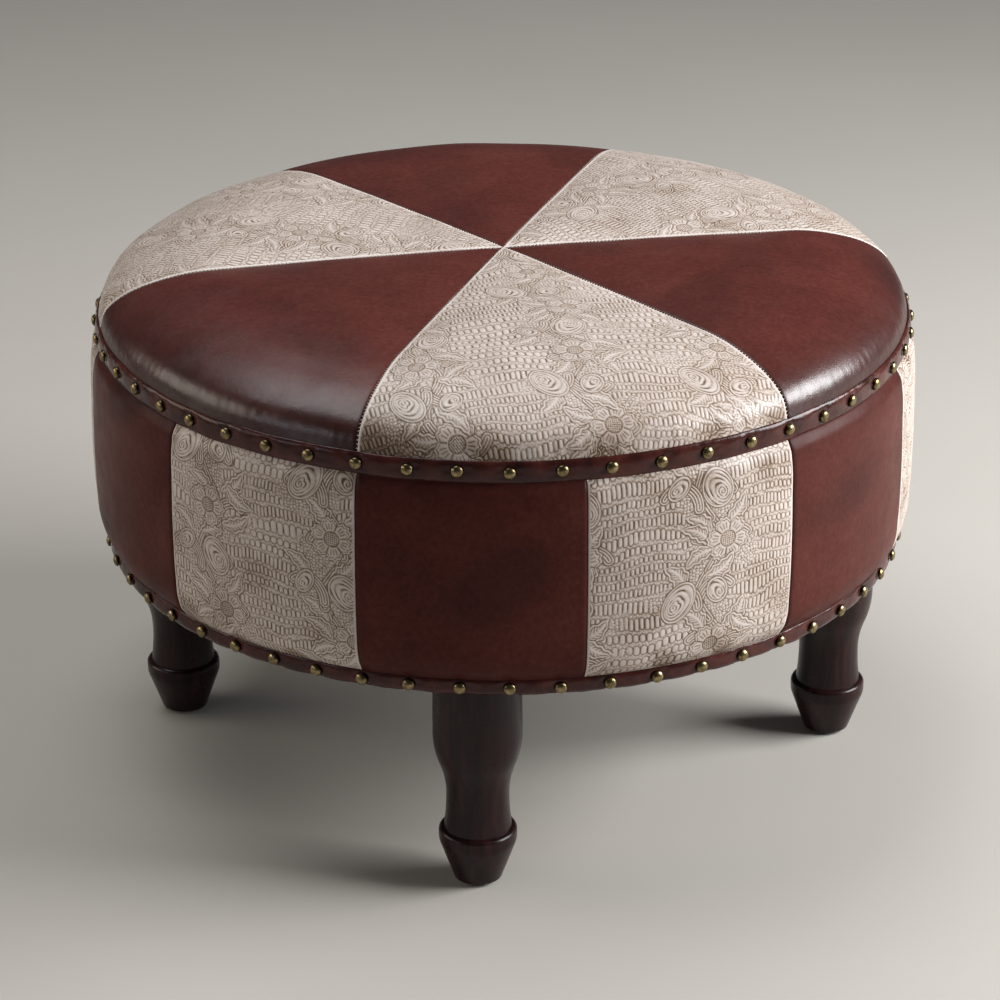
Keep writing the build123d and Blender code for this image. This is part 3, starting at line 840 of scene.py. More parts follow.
    def sample(self, field, x, y):
        """Value of a field at points in millimetres."""
        column, line = np.mod(x, HIDE) / HIDE_STEP, np.mod(y, HIDE) / HIDE_STEP
        i, j = np.floor(column).astype(int), np.floor(line).astype(int)
        du, dv = column - i, line - j
        i, j = i % HIDE_CELLS, j % HIDE_CELLS
        k, m = (i + 1) % HIDE_CELLS, (j + 1) % HIDE_CELLS
        low = field[i, j] * (1 - du) + field[k, j] * du
        high = field[i, m] * (1 - du) + field[k, m] * du
        return low * (1 - dv) + high * dv

    def at(self, x, y, shift):
        """Height and tone at points of a piece that was cut from the hide at a shift."""
        x, y = x + shift[0], y + shift[1]
        return self.sample(self.height, x, y), self.sample(self.tone, x, y)


hide = Hide(11)
EMBOSS = 0.46


def rubbed(tone, stain):
    """How dark the rub of the embossed leather is, from its tone and from stains of 0 to 1."""
    rub = 0.165 + 0.72 * np.maximum(tone, 0) + 0.24 * np.minimum(tone, 0)
    return np.clip(rub + stain * (0.40 + 0.12 * np.maximum(tone, 0)), 0, 1)


# The seat: a sewn cover blown up over its padding


def slope_normal(slope):
    return np.stack([np.sin(np.radians(slope)), np.cos(np.radians(slope))], -1)


def cushion_meridian(inset, count):
    """Points down the cushion's meridian from the crown to the hem, evenly spaced."""
    edge = np.array([DRUM_RADIUS - EDGE_RADIUS, HEM_HEIGHT])
    roll = edge - slope_normal(ROLL_SLOPE) * (ROLL_RADIUS - EDGE_RADIUS)
    shoulder = roll - slope_normal(SHOULDER_SLOPE) * (SHOULDER_RADIUS - ROLL_RADIUS)
    rim = shoulder + slope_normal(CROWN_SLOPE) * SHOULDER_RADIUS
    crown_radius = rim[0] / math.sin(math.radians(CROWN_SLOPE))
    crown = np.array([0, rim[1] - crown_radius * math.cos(math.radians(CROWN_SLOPE))])
    arcs = (
        (crown, crown_radius, 0, CROWN_SLOPE),
        (shoulder, SHOULDER_RADIUS, CROWN_SLOPE, SHOULDER_SLOPE),
        (roll, ROLL_RADIUS, SHOULDER_SLOPE, ROLL_SLOPE),
        (edge, EDGE_RADIUS, ROLL_SLOPE, 90),
    )
    points = [
        centre + slope_normal(np.linspace(first, last, 200)) * (radius - inset)
        for centre, radius, first, last in arcs
    ]
    points = np.concatenate([points[0]] + [p[1:] for p in points[1:]])
    length = lengths_along(points)
    even = np.linspace(0, length[-1], count)
    radius = np.interp(even, length, points[:, 0])
    return np.stack([radius, np.interp(even, length, points[:, 1])], 1), length[-1]


COLUMNS = 20
ROWS = 64
PUFF = 6.5
OVERHANG = 3.5
CLOTH_FRAMES = 24
COVER_COLUMNS = WEDGE_COUNT * COLUMNS
cover_bearings = FIRST_SEAM + full_turn(COVER_COLUMNS)
seam_line, seam_length = cushion_meridian(0.0, ROWS + 1)


def seam_radius(t):
    """Radius of a seam, at a share of its length from the middle of the seat."""
    return np.interp(t, np.linspace(0, 1, ROWS + 1), seam_line[:, 0])


def blown_cover():
    """Points and outward directions of the sewn cover, (column round the axis, row down the
    meridian), after cloth simulation."""
    radius = np.tile(seam_line[:, 0], (COVER_COLUMNS, 1))
    start = around(radius, cover_bearings[:, None], seam_line[None, :, 1])
    tangent = unit(np.gradient(seam_line, axis=0))
    side = outward(cover_bearings)[:, None, :] * -tangent[None, :, 1, None]
    normal = side + np.array([0, 0, 1.0]) * tangent[None, :, 0, None]
    share = (np.arange(COVER_COLUMNS) % COLUMNS) / COLUMNS
    swell = 4 * share * (1 - share)
    along = (seam_line[:, 0] / DRUM_RADIUS) ** 1.6
    plain = swell[:, None] * np.sin(np.pi * along)[None, :]
    rise = simulated_rise(start, normal, plain)
    to_hem = seam_length * np.linspace(1, 0, ROWS + 1)
    over = OVERHANG * smoothstep(7.5, 28.0, to_hem) * smoothstep(80.0, 28.0, to_hem)
    return start + normal * (rise * PUFF + over[None, :])[..., None], normal


def simulated_rise(start, normal, plain):
    """Blow the cover up with Blender's cloth between its pinned seams. Returns rises of 0 to about 1."""
    total, rows = start.shape[:2]
    begin = start + normal * (plain * 1.5)[..., None]
    verts = np.concatenate([begin[:1, 0], begin[:, 1:].reshape(-1, 3)]) * MM
    numbers = 1 + np.arange(total * (rows - 1)).reshape(total, rows - 1)
    after = np.roll(numbers, -1, axis=0)
    quads = np.stack([numbers[:, :-1], numbers[:, 1:], after[:, 1:], after[:, :-1]], -1).reshape(-1, 4)
    fan = np.stack([np.zeros(total, int), numbers[:, 0], after[:, 0]], 1)
    mesh = bpy.data.meshes.new("cover_sim")
    mesh.from_pydata(verts.tolist(), [], quads.tolist() + fan.tolist())
    cover = bpy.data.objects.new("cover_sim", mesh)
    bpy.context.scene.collection.objects.link(cover)
    pin = cover.vertex_groups.new(name="pin")
    seam = numbers[::COLUMNS].ravel()
    held = np.concatenate([[0], numbers[:, :2].ravel(), seam, numbers[:, -2:].ravel()])
    pin.add(np.unique(held).tolist(), 1.0, "REPLACE")
    cloth = cover.modifiers.new("cloth", "CLOTH")
    settings = cloth.settings
    settings.quality = 6
    settings.mass = 0.3
    settings.tension_stiffness = settings.compression_stiffness = 18
    settings.shear_stiffness = 8
    settings.bending_stiffness = 1.0
    settings.vertex_group_mass = "pin"
    settings.use_pressure = True
    settings.uniform_pressure_force = 4.0
    settings.effector_weights.gravity = 0.0
    cloth.collision_settings.use_collision = False
    cloth.collision_settings.use_self_collision = False
    cloth.point_cache.frame_start, cloth.point_cache.frame_end = 1, CLOTH_FRAMES
    scene = bpy.context.scene
    for number in range(1, CLOTH_FRAMES + 1):
        scene.frame_set(number)
    graph = bpy.context.evaluated_depsgraph_get()
    result = cover.evaluated_get(graph).to_mesh()
    moved = np.zeros(len(verts) * 3, np.float32)
    result.vertices.foreach_get("co", moved)
    moved = moved.reshape(-1, 3).astype(float) / MM
    scene.frame_set(1)
    bpy.data.objects.remove(cover)
    end = start.copy()
    end[:, 1:] = moved[1:].reshape(total, rows - 1, 3)
    rise = ((end - start) * normal).sum(-1)
    print("cover rise, mm", np.round([rise.min(), rise.mean(), rise.max()], 2))
    return np.clip(rise / np.percentile(rise, 99.0), 0, 1.15)


cover, cover_normal = blown_cover()


def spline_weights(share):
    """Catmull-Rom weights of the four points round a place."""
    square, cube = share**2, share**3
    return (
        (-cube + 2 * square - share) / 2,
        (3 * cube - 5 * square + 2) / 2,
        (-3 * cube + 4 * square + share) / 2,
        (cube - square) / 2,
    )


class Wedge:
    """One wedge of the blown cover as a smooth surface of u across it and t down it."""

    def __init__(self, index):
        columns = (index * COLUMNS + np.arange(COLUMNS + 1)) % COVER_COLUMNS
        grid = cover[columns]
        grid = np.concatenate([2 * grid[:1] - grid[1:2], grid, 2 * grid[-1:] - grid[-2:-1]])
        ends = 2 * grid[:, :1] - grid[:, 1:2], 2 * grid[:, -1:] - grid[:, -2:-1]
        self.grid = np.concatenate([ends[0], grid, ends[1]], axis=1)
        self.middle = FIRST_SEAM + (index + 0.5) * WEDGE_ANGLE

    def point(self, u, t):
        across, down = u * COLUMNS, t * ROWS
        i = np.clip(np.floor(across).astype(int), 0, COLUMNS - 1)
        j = np.clip(np.floor(down).astype(int), 0, ROWS - 1)
        wide, deep = spline_weights(across - i), spline_weights(down - j)
        total = np.zeros((*np.shape(u), 3))
        for k in range(4):
            for m in range(4):
                total += (wide[k] * deep[m])[..., None] * self.grid[i + k, j + m]
        return total

    def place(self, u, t):
        """Points and outward normals."""
        step = 1e-3
        across = self.point(u + step, t) - self.point(u - step, t)
        down = self.point(u, t + step) - self.point(u, t - step)
        normal = np.cross(down, across)
        size = np.linalg.norm(normal, axis=-1, keepdims=True)
        normal = np.where(size > 1e-9, normal / np.maximum(size, 1e-9), [0, 0, 1.0])
        return self.point(u, t), normal


WEDGE_GAP = 0.15
RELIEF_ROOM = 1.2
SEAM_TEETH_PITCH = 3.4
MM_PER_DEGREE = 6.1
NAIL_STEP = 360.0 / NAIL_COUNT
wedge_offsets = {0: (52.0, 20.0), 2: (20.0, 210.0), 4: (260.0, 95.0)}
SPACING = {"cream": 0.82, "brown": 2.4}
wedge_corners = {0: 1.0, 2: 0.3, 4: 0.6}
PANEL_SPACING = {"cream": 0.64, "brown": 2.4}


def spacing_of(spacing, leather):
    return spacing[leather] * 1.0


def wedge_relief(index, leather, u, t):
    """How far the cover stands off its smooth shape, in millimetres, with its colour values."""
    along = t * seam_length
    bearing = (u - 0.5) * WEDGE_ANGLE
    x, y = along * np.sin(np.radians(bearing)), along * np.cos(np.radians(bearing))
    radius = seam_radius(t)
    to_seam = radius * np.radians(np.minimum(u, 1 - u) * WEDGE_ANGLE)
    to_hem = seam_length * (1 - t)
    teeth = 0.5 + 0.5 * np.cos(along * 2 * math.pi / SEAM_TEETH_PITCH)
    sink = -1.0 * bell(to_seam, 1.5)
    if leather == "cream":
        sink = -0.5 * bell(to_seam, 0.7) + (0.15 + 0.25 * teeth) * bell(to_seam - 1.2, 1.0)
    pleat = wave_noise(40 + index, bearing * MM_PER_DEGREE, to_hem * 0.10, 8.0)
    pleat = pleat * bell(to_hem - 12, 16.0)
    tug = np.cos(np.radians(u * WEDGE_ANGLE * 360 / NAIL_STEP)) * bell(to_hem - 4, 17.0)
    free = smoothstep(7.0, 16.0, to_hem)
    rise = sink + (0.14 * pleat - 0.22 * tug + 0.30 * wave_noise(60 + index, x, y, 90.0)) * free
    if leather == "brown":
        # Darker towards the hem is painted shade, and it is darker along the seams too; the random patches
        # are wear.
        worn_and_shaded = 0.75 * bell(to_hem, 48.0) + 0.25 * bell(to_seam, 4.0)
        worn_and_shaded = worn_and_shaded + 0.25 * smoothstep(0.0, 1.4, wave_noise(70 + index, x, y, 120.0))
        return rise, {"wear": np.clip(worn_and_shaded, 0, 0.8), "gloss": 0.40 + 0.60 * smoothstep(70.0, 25.0, to_hem)}
    height, tone = hide.at(x, y, wedge_offsets[index])
    fade = smoothstep(0.5, 3.0, to_seam)
    patch = smoothstep(0.5, 1.8, wave_noise(80 + index, x, y, 75.0))
    corner = bell(to_hem, 24.0) * smoothstep(-0.2, 1.2, wave_noise(90 + index, x, y, 60.0))
    to_corner = np.hypot(0.9 * to_hem, radius * np.radians(u * WEDGE_ANGLE) * 0.7)
    corner = np.maximum(corner, wedge_corners[index] * bell(to_corner, 36.0) * 1.3)
    stain = np.clip(0.20 * patch + 0.9 * corner, 0, 1)
    tone = tone * fade - (0.5 + 0.6 * teeth) * bell(to_seam - 1.0, 1.5)
    gloss = smoothstep(60.0, 20.0, to_hem)
    return rise + EMBOSS * (height - 0.6) * fade, {"rub": rubbed(tone, stain * fade), "gloss": gloss}


def wedge_steps(radius, spacing):
    """How many faces a row of a wedge has across it."""
    wanted = radius * math.radians(WEDGE_ANGLE) / spacing
    if wanted < 12:
        return 2 ** math.ceil(math.log2(max(wanted, 1)))
    return 24 * math.ceil(wanted / 24)


def wedge_row(skin, surface, index, leather, t, steps, under=False):
    radius = seam_radius(t)
    u = np.array([0.5])
    if radius > 0.4:
        margin = WEDGE_GAP / (radius * math.radians(WEDGE_ANGLE))
        u = np.linspace(margin, 1 - margin, steps + 1)
    t = np.full(len(u), t)
    point, normal = surface.place(u, t)
    rise, values = wedge_relief(index, leather, u, t)
    angle = np.radians((u - 0.5) * WEDGE_ANGLE)
    flat = np.stack([np.sin(angle), np.cos(angle)], 1) * (t * seam_length / 400.0)[:, None]
    uv = flat + [0.5, 0.01]
    if under:
        rise = np.full(len(u), -RELIEF_ROOM - LEATHER)
        uv = [0.768, 0.43] - flat * 0.42
    return skin.row(point + normal * rise[:, None], uv, **values)


def seat_wedge(index):
    leather = LEATHERS[index % 2]
    spacing = spacing_of(SPACING, leather)
    surface = Wedge(index)
    name = f"seat_wedge_{leather}_{index // 2 + 1}"
    skin = Skin()
    top, under = [], []
    for t in np.linspace(0, 1, int(seam_length / spacing) + 1):
        steps = wedge_steps(seam_radius(t), spacing)
        top.append(wedge_row(skin, surface, index, leather, t, steps))
    for t in np.linspace(0, 1, 25):
        under.append(wedge_row(skin, surface, index, leather, t, 16, under=True))
    skin.join_rows(top)
    skin.join_rows(under, flip=True)
    skin.join_edges(top, under, 0.02, 0.24)
    piece = skin.make(name, materials[f"{leather}_leather"])
    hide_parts(name)


for wedge in range(WEDGE_COUNT):
    seat_wedge(wedge)


STITCH_PITCH = 3.2
STITCH_START, STITCH_REST = 8.0, 12.0
# Points along a stitch: how far along it, and half its thickness
STITCH_SHAPE = ((-1.35, 0.0), (-1.2, 0.22), (-0.6, 0.36), (0.6, 0.36), (1.2, 0.22), (1.35, 0.0))


def seam_stitches():
    """Small stitches across the six seams of the seat."""
    skin = Skin()
    rng = np.random.default_rng(3)
    for index in range(WEDGE_COUNT):
        surface = Wedge(index)
        count = int((seam_length - STITCH_REST) / STITCH_PITCH)
        t = (STITCH_START + np.arange(count) * STITCH_PITCH) / seam_length
        point, normal = surface.place(np.zeros(count), t)
        down = unit(np.gradient(point, axis=0))
        across = np.cross(normal, down)
        for p, n, d, c in zip(point, normal, down, across):
            lean = unit(c + d * rng.uniform(-0.25, 0.05))
            side = np.cross(lean, n)
            middle = p - n * 0.40 + d * rng.uniform(-0.2, 0.2)
            rows = []
            for along, thick in STITCH_SHAPE:
                centre = middle + lean * along - n * 0.12 * along**2
                rows.append(skin.hoop(centre, thick, side, n, 8, [0.5, 0.5]))
            skin.ring_rows(rows)
    skin.make("seat_seam_stitches", materials["thread"])


seam_stitches()


# Padding under the seat and the side, out of sight

# Depths below the cover
WADDING_TOP, WADDING_UNDER = 2.9, 10.3
FOAM_TOP = 10.5
WADDING_ROWS = 48


def side_radius(height):
    """Outer radius of the padded side, which bulges between its two rows of nails."""
    shape = [(0.0, 0.0), *SIDE_SHAPE, (1.0, 0.0)]
    knots, bulge = np.array(shape).T
    slopes = np.gradient(bulge, knots)
    at = np.clip((np.asarray(height, float) - LOWER_TRIM_TOP) / (UPPER_TRIM_BOTTOM - LOWER_TRIM_TOP), 0, 1)
    i = np.clip(np.searchsorted(knots, at) - 1, 0, len(knots) - 2)
    span = knots[i + 1] - knots[i]
    s = (at - knots[i]) / span
    rise = (2 * s**3 - 3 * s**2 + 1) * bulge[i] + (s**3 - 2 * s**2 + s) * span * slopes[i]
    rise = rise + (3 * s**2 - 2 * s**3) * bulge[i + 1] + (s**3 - s**2) * span * slopes[i + 1]
    return SIDE_FOOT_RADIUS + (DRUM_RADIUS - SIDE_FOOT_RADIUS) * at + SIDE_BULGE * rise


def padding():
    outer = cover - cover_normal * WADDING_TOP
    inner, _ = cushion_meridian(WADDING_UNDER, WADDING_ROWS)
    skin = Skin()
    rows = [skin.row(outer[:1, 0], [TURN_UV / 2, 0.0])]
    for number in range(1, ROWS + 1):
        rows.append(skin.row(outer[:, number], turn_uv(COVER_COLUMNS, 0.48 * number / ROWS)))
    for number, (radius, height) in enumerate(inner[:0:-1]):
        points = around(np.full(COVER_COLUMNS, radius), cover_bearings, height)
        rows.append(skin.row(points, turn_uv(COVER_COLUMNS, 0.50 + 0.48 * number / WADDING_ROWS)))
    rows.append(skin.row([0.0, 0.0, inner[0, 1]], [TURN_UV / 2, 0.98]))
    skin.ring_rows(rows)
    piece = skin.make("seat_wadding_pad", materials["wadding"])
    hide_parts("seat_wadding")

    foam, _ = cushion_meridian(FOAM_TOP, 60)
    low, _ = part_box("seat_foam")
    floor = low.z / MM
    kept = foam[foam[:, 1] > floor + 1.0]
    rows = [*kept, [kept[-1, 0] + 0.3, floor + 0.4], [kept[-1, 0] - 0.5, floor], [0.0, floor]]
    skin = Skin()
    lathe(skin, rows, 144, closed=False)
    piece = skin.make("seat_foam_block", materials["foam"])
    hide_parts("seat_foam")

    heights = np.linspace(PANEL_BOTTOM, PANEL_TOP, 40)
    outer = np.stack([side_radius(heights) - LEATHER - 0.05, heights], 1)
    skin = Skin()
    inner = [[PADDING_INSIDE, PANEL_TOP], [PADDING_INSIDE, PANEL_BOTTOM]]
    lathe(skin, [*outer, *inner], 180, closed=True)
    piece = skin.make("side_pad", materials["foam"])
    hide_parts("side_padding")


padding()


# The side: twelve panels of leather, sewn edge to edge

panel_offsets = {
    1: (50.0, 40.0),
    3: (20.0, 250.0),
    5: (120.0, 330.0),
    7: (300.0, 30.0),
    9: (250.0, 180.0),
    11: (106.0, 118.0),
}
PANEL_WIDTH = DRUM_RADIUS * math.radians(PANEL_ANGLE)
PANEL_HEIGHT = PANEL_TOP - PANEL_BOTTOM


def panel_relief(index, leather, x, z):
    """How far a panel stands off the padded side, in millimetres, with its colour values."""
    to_edge = PANEL_WIDTH / 2 - np.abs(x)
    to_end = np.minimum(z - PANEL_BOTTOM, PANEL_TOP - z)
    to_trim = np.minimum(z - LOWER_TRIM_TOP, UPPER_TRIM_BOTTOM - z)
    turn = (np.degrees(x / DRUM_RADIUS) + PANEL_ANGLE * index - FIRST_SEAM) / NAIL_STEP
    pucker = np.cos(2 * math.pi * turn) * bell(to_trim - 4, 12.0) * smoothstep(0.0, 4.0, to_trim)
    free = smoothstep(0.0, 6.0, to_trim)
    rise = ((-0.9 if leather == "brown" else -0.35) * bell(to_edge, 1.2) - 0.25 * pucker) * free
    rise = rise + 0.28 * wave_noise(140 + index, x, z, 80.0) * smoothstep(2.0, 25.0, to_edge) * free
    if leather == "brown":
        # Darker near the trims and darker all over the side panels than on the seat is painted shade, and
        # it is darker along the panel edges; the random patches are wear.
        worn_and_shaded = 0.35 * bell(PANEL_TOP - z, 26.0) + 0.25 * bell(z - PANEL_BOTTOM, 20.0)
        worn_and_shaded = worn_and_shaded + 0.25 * bell(to_edge, 5.0)
        worn_and_shaded = worn_and_shaded + 0.14 + 0.35 * smoothstep(0.0, 1.6, wave_noise(150 + index, x, z, 110.0))
        return rise, {"wear": np.clip(worn_and_shaded, 0, 0.85), "gloss": np.zeros_like(worn_and_shaded)}
    height, tone = hide.at(x, z, panel_offsets[index])
    fade = smoothstep(0.5, 2.5, to_edge) * free
    patch = smoothstep(0.4, 1.7, wave_noise(160 + index, x, z, 70.0))
    end = bell(to_end - 8, 20.0) * smoothstep(-0.2, 1.2, wave_noise(170 + index, x, z, 45.0))
    stain = np.clip(0.25 * patch + 0.7 * end, 0, 1)
    tone = tone * 1.1 * smoothstep(0.5, 2.5, to_edge) - 0.6 * bell(to_edge, 1.4)
    return rise + EMBOSS * (height - 0.6) * fade, {"rub": rubbed(tone, stain)}


def panel_row(skin, index, leather, z, steps, under=False):
    x = np.linspace(WEDGE_GAP - PANEL_WIDTH / 2, PANEL_WIDTH / 2 - WEDGE_GAP, steps + 1)
    rise, values = panel_relief(index, leather, x, np.full(len(x), z))
    share = (z - PANEL_BOTTOM) / PANEL_HEIGHT
    uv = np.stack([0.01 + 0.8 * (x / PANEL_WIDTH + 0.5), np.full(len(x), 0.01 + 0.8 * share)], 1)
    if under:
        rise = np.full(len(x), -LEATHER - 0.2)
        uv[:, 0] = 0.84 + 0.14 * (x / PANEL_WIDTH + 0.5)
    bearing = PANEL_ANGLE * index + np.degrees(x / DRUM_RADIUS)
    return skin.row(around(side_radius(z) + 0.25 + rise, bearing, z), uv, **values)


def side_panel(index):
    leather = LEATHERS[(index + 1) % 2]
    spacing = spacing_of(PANEL_SPACING, leather)
    name = f"side_panel_{leather}_{index // 2 + 1}"
    skin = Skin()
    steps = int(PANEL_WIDTH / spacing)
    heights = np.linspace(PANEL_TOP, PANEL_BOTTOM, int(PANEL_HEIGHT / spacing) + 1)
    top = [panel_row(skin, index, leather, z, steps) for z in heights]
    heights = np.linspace(PANEL_TOP, PANEL_BOTTOM, 40)
    under = [panel_row(skin, index, leather, z, 16, under=True) for z in heights]
    skin.join_rows(top)
    skin.join_rows(under, flip=True)
    bottom = skin.join_edges(top, under, 0.84, 0.8)
    skin.join(top[0], under[0], flip=True, strip=(0.01, bottom, 0.8, STRIP))
    piece = skin.make(name, materials[f"{leather}_leather"])
    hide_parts(name)


for panel in range(PANEL_COUNT):
    side_panel(panel)


# Trim and nails

TRIM_COLUMNS = NAIL_COUNT * 20
nail_bearings = FIRST_SEAM + np.arange(NAIL_COUNT) * NAIL_STEP


def upper_path(along):
    """Inner face of the upper trim, from its lower edge up: points and outward directions."""
    straight = HEM_HEIGHT - UPPER_TRIM_BOTTOM
    angle = np.maximum(along - straight, 0) / (EDGE_RADIUS + 1.4)
    bend = EDGE_RADIUS + 0.2
    radius = DRUM_RADIUS - EDGE_RADIUS + bend * np.cos(angle)
    height = np.where(along < straight, UPPER_TRIM_BOTTOM + along, HEM_HEIGHT + bend * np.sin(angle))
    return radius, height, np.cos(angle), np.sin(angle)


def lower_path(along):
    """Inner face of the lower trim, from its inner edge under the drum, round the corner and up."""
    lip, corner = LOWER_TRIM_LIP, LOWER_TRIM_CORNER
    bend = np.clip((along - lip) / corner, 0, 1) * math.pi / 2
    radius = np.minimum(LOWER_TRIM_INSIDE - lip + along, LOWER_TRIM_INSIDE)
    height = BASE_BOTTOM + np.maximum(along - lip - corner, 0)
    return radius, height, np.sin(bend), -np.cos(bend)


def trim_ring(name, node, path, width, nail_along, seed, lift):
    """A strip of leather nailed round the drum, pinched at its nails and full between them."""
    skin = Skin()
    rng = np.random.default_rng(seed)
    bearings = full_turn(TRIM_COLUMNS)
    turn = (bearings - FIRST_SEAM) / NAIL_STEP
    from_nail = (np.mod(turn + 0.5, 1) - 0.5) * math.radians(NAIL_STEP) * DRUM_RADIUS
    gap = np.floor(np.mod(turn, NAIL_COUNT)).astype(int)
    full = rng.uniform(0.5, 1.0, NAIL_COUNT)[gap] * np.sin(np.pi * np.mod(turn, 1)) ** 2
    tug = rng.uniform(0.4, 1.0, NAIL_COUNT)[np.round(np.mod(turn, NAIL_COUNT)).astype(int) % NAIL_COUNT]
    sway = wave_noise(seed, bearings * MM_PER_DEGREE, 0 * bearings, 60.0)
    rows = []
    across = np.sin(np.linspace(-math.pi / 2, math.pi / 2, 19)) * 0.5 + 0.5
    for side in ("front", "back"):
        for share in across if side == "front" else across[::-1]:
            along = width * share + lift * (0.35 * sway + 0.5 * tug * bell(from_nail, 9.0) * (0.5 - share))
            radius, height, out, up = path(along)
            thick = np.full(TRIM_COLUMNS, 0.0)
            if side == "front":
                reach = np.hypot(from_nail, along - nail_along)
                swing = np.arctan2(along - nail_along, from_nail)
                crease = np.cos(7 * swing + gap) * bell(reach - 9.0, 4.0)
                crown = 1 - abs(2 * share - 1) ** (9 if share > 0.5 else 4)
                thick = 0.50 + (1.50 - 0.4 * share) * crown + crown * (
                    0.75 * full * np.sin(np.pi * share) - 1.0 * tug * bell(reach, 6.5) + 0.22 * crease
                    + 0.10 * wave_noise(seed + 2, bearings * MM_PER_DEGREE, along, 14.0)
                )
                thick = np.clip(thick, 0.1, 3.2)
            place = 0.01 + 0.46 * share if side == "front" else 0.98 - 0.46 * share
            points = around(radius + thick * out, bearings, height + thick * up)
            rows.append(skin.row(points, turn_uv(TRIM_COLUMNS, place)))
    skin.ring_rows(rows, closed=True)
    piece = skin.make(name, materials["trim_leather"])
    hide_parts(node)


trim_ring("upper_trim_strip", "upper_trim", upper_path, width=19.0, nail_along=9.5, seed=21, lift=1.0)
trim_ring("lower_trim_strip", "lower_trim", lower_path, width=31.0, nail_along=24.0, seed=22, lift=0.6)


def nail_row(name, node, inside, height, seed):
    """Domed nail heads with their shanks, each a little out of true."""
    skin = Skin()
    rng = np.random.default_rng(seed)
    dome = np.radians(np.linspace(90, 0, 9))
    profile = [(NAIL_RADIUS * np.cos(a), NAIL_RIM + NAIL_DOME * np.sin(a)) for a in dome]
    profile += [(NAIL_RADIUS - 0.25, 0.0), (NAIL_SHANK_RADIUS, 0.0)]
    profile += [(NAIL_SHANK_RADIUS, -NAIL_SHANK_LENGTH), (0.0, -NAIL_LENGTH)]
    profile = np.array(profile)
    profile[0, 0] = 0.0
    columns = 28
    for number, bearing in enumerate(nail_bearings):
        out = outward(bearing)
        side = np.array([-out[1], out[0], 0.0])
        tilt = rng.uniform(-0.07, 0.07, 2)
        axis = unit(out + side * tilt[0] + np.array([0, 0, tilt[1]]))
        side = unit(np.cross(axis, [0, 0, 1.0]))
        up = np.cross(side, axis)
        seat = out * (inside + TRIM_THICKNESS - 0.55) + [0, 0, height]
        seat = seat + side * rng.uniform(-0.9, 0.9) + up * rng.uniform(-0.6, 0.6)
        place = [0.01 + 0.98 * (number + 0.5) / NAIL_COUNT, 0.5]
        rows = []
        for radius, rise in profile:
            dark = 0.85 * smoothstep(0.80, 1.0, radius / NAIL_RADIUS) if rise >= 0 else 1.0
            rows.append(skin.hoop(seat + axis * rise, radius, side, up, columns, place, crevice=dark))
        skin.ring_rows(rows)
    piece = skin.make(name, materials["antique_brass"])
    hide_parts(node)


nail_row("upper_nail_heads", "upper_nails", UPPER_TRIM_INSIDE, UPPER_NAIL_HEIGHT, 31)
nail_row("lower_nail_heads", "lower_nails", LOWER_TRIM_INSIDE, LOWER_NAIL_HEIGHT, 32)


# Dust cover: a round of black cloth stretched under the base board


def dust_cover():
    skin = Skin()
    radii = np.linspace(0, DUST_COVER_RADIUS, 40)
    directions = outward(full_turn(144))
    legs = [outward(bearing) * LEG_CIRCLE for bearing in LEG_BEARINGS]
    rows = []
    for lift, order in ((0.0, radii), (CAMBRIC_THICKNESS, radii[::-1])):
        for radius in order:
            x, y = radius * directions[:, 0], radius * directions[:, 1]
            held = sum(bell(np.hypot(x - leg[0], y - leg[1]), 70.0) for leg in legs)
            slack = (1 - (radius / DUST_COVER_RADIUS) ** 2) * np.clip(1 - held, 0, 1)
            height = LEG_TOP + 0.05 + lift - slack * (1.0 + 0.25 * wave_noise(5, x, y, 90.0))
            flat = np.stack([x, y], 1) / (2 * DUST_COVER_RADIUS)
            uv = flat * 0.49 + ([0.25, 0.25] if lift == 0 else [0.75, 0.75])
            if radius == 0:
                rows.append(skin.row(np.array([[0, 0, float(np.mean(height))]]), uv[:1]))
            else:
                rows.append(skin.row(np.stack([x, y, height], 1), uv))
    skin.ring_rows(rows)
    piece = skin.make("dust_cover_cloth", materials["cambric"])
    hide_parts("dust_cover")


dust_cover()


# CAD nodes that show or lie inside

node_finish = {
    "base_board": "plywood",
    "seat_board": "plywood",
    "post": "softwood",
    "leg_block": "softwood",
    "side_liner": "hardboard",
    "tack_strip": "card",
    "frame_screws": "zinc_steel",
    "tee_nuts": "zinc_steel",
    "hanger_bolts": "zinc_steel",
    "dust_cover_staples": "zinc_steel",
    "glide": "glide_plastic",
    "leg": "dark_wood",
}
for node, piece in frame["nodes"].items():
    for start, finish in node_finish.items():
        if node.startswith(start) and not (start == "leg" and node.startswith("leg_block")):
            piece.data.materials.clear()
            piece.data.materials.append(materials[finish])
            piece.data.shade_smooth()


# Stage, light and camera

FLOOR_COLOUR = (0.48, 0.455, 0.415)
FLOOR_SIZE = 24000.0


def stage():
    """A plain floor, wide enough to fill the picture from every side."""
    paint = Paint("floor", Roughness=0.9)
    tone = paint.noise(3.0, 3.0, 0.5)
    paint.colour(paint.ramp(tone, (0.3, tuple(0.97 * c for c in FLOOR_COLOUR)), (0.7, FLOOR_COLOUR)))
    skin = Skin()
    rows = []
    span = np.linspace(-FLOOR_SIZE / 2, FLOOR_SIZE / 2, 13)
    for y in span:
        place = np.stack([span, np.full(len(span), y), np.zeros(len(span))], 1)
        rows.append(skin.row(place, place[:, :2] / FLOOR_SIZE + 0.5))
    skin.join_rows(rows)
    piece = skin.make("stage_floor", paint.material)
    piece.parent = None
    del piece["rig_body"]


stage()


def axes_from(bearing, elevation):
    """Right, up and back axes of something that looks at the drum's axis from a side."""
    lift = math.radians(elevation)
    back = outward(bearing) * math.cos(lift) + np.array([0, 0, math.sin(lift)])
    right = unit(np.cross([0, 0, 1.0], back))
    return right, np.cross(back, right), back


def turned(first, second, angle):
    """Two axes, turned in their own plane."""
    return (
        first * math.cos(angle) + second * math.sin(angle),
        second * math.cos(angle) - first * math.sin(angle),
    )


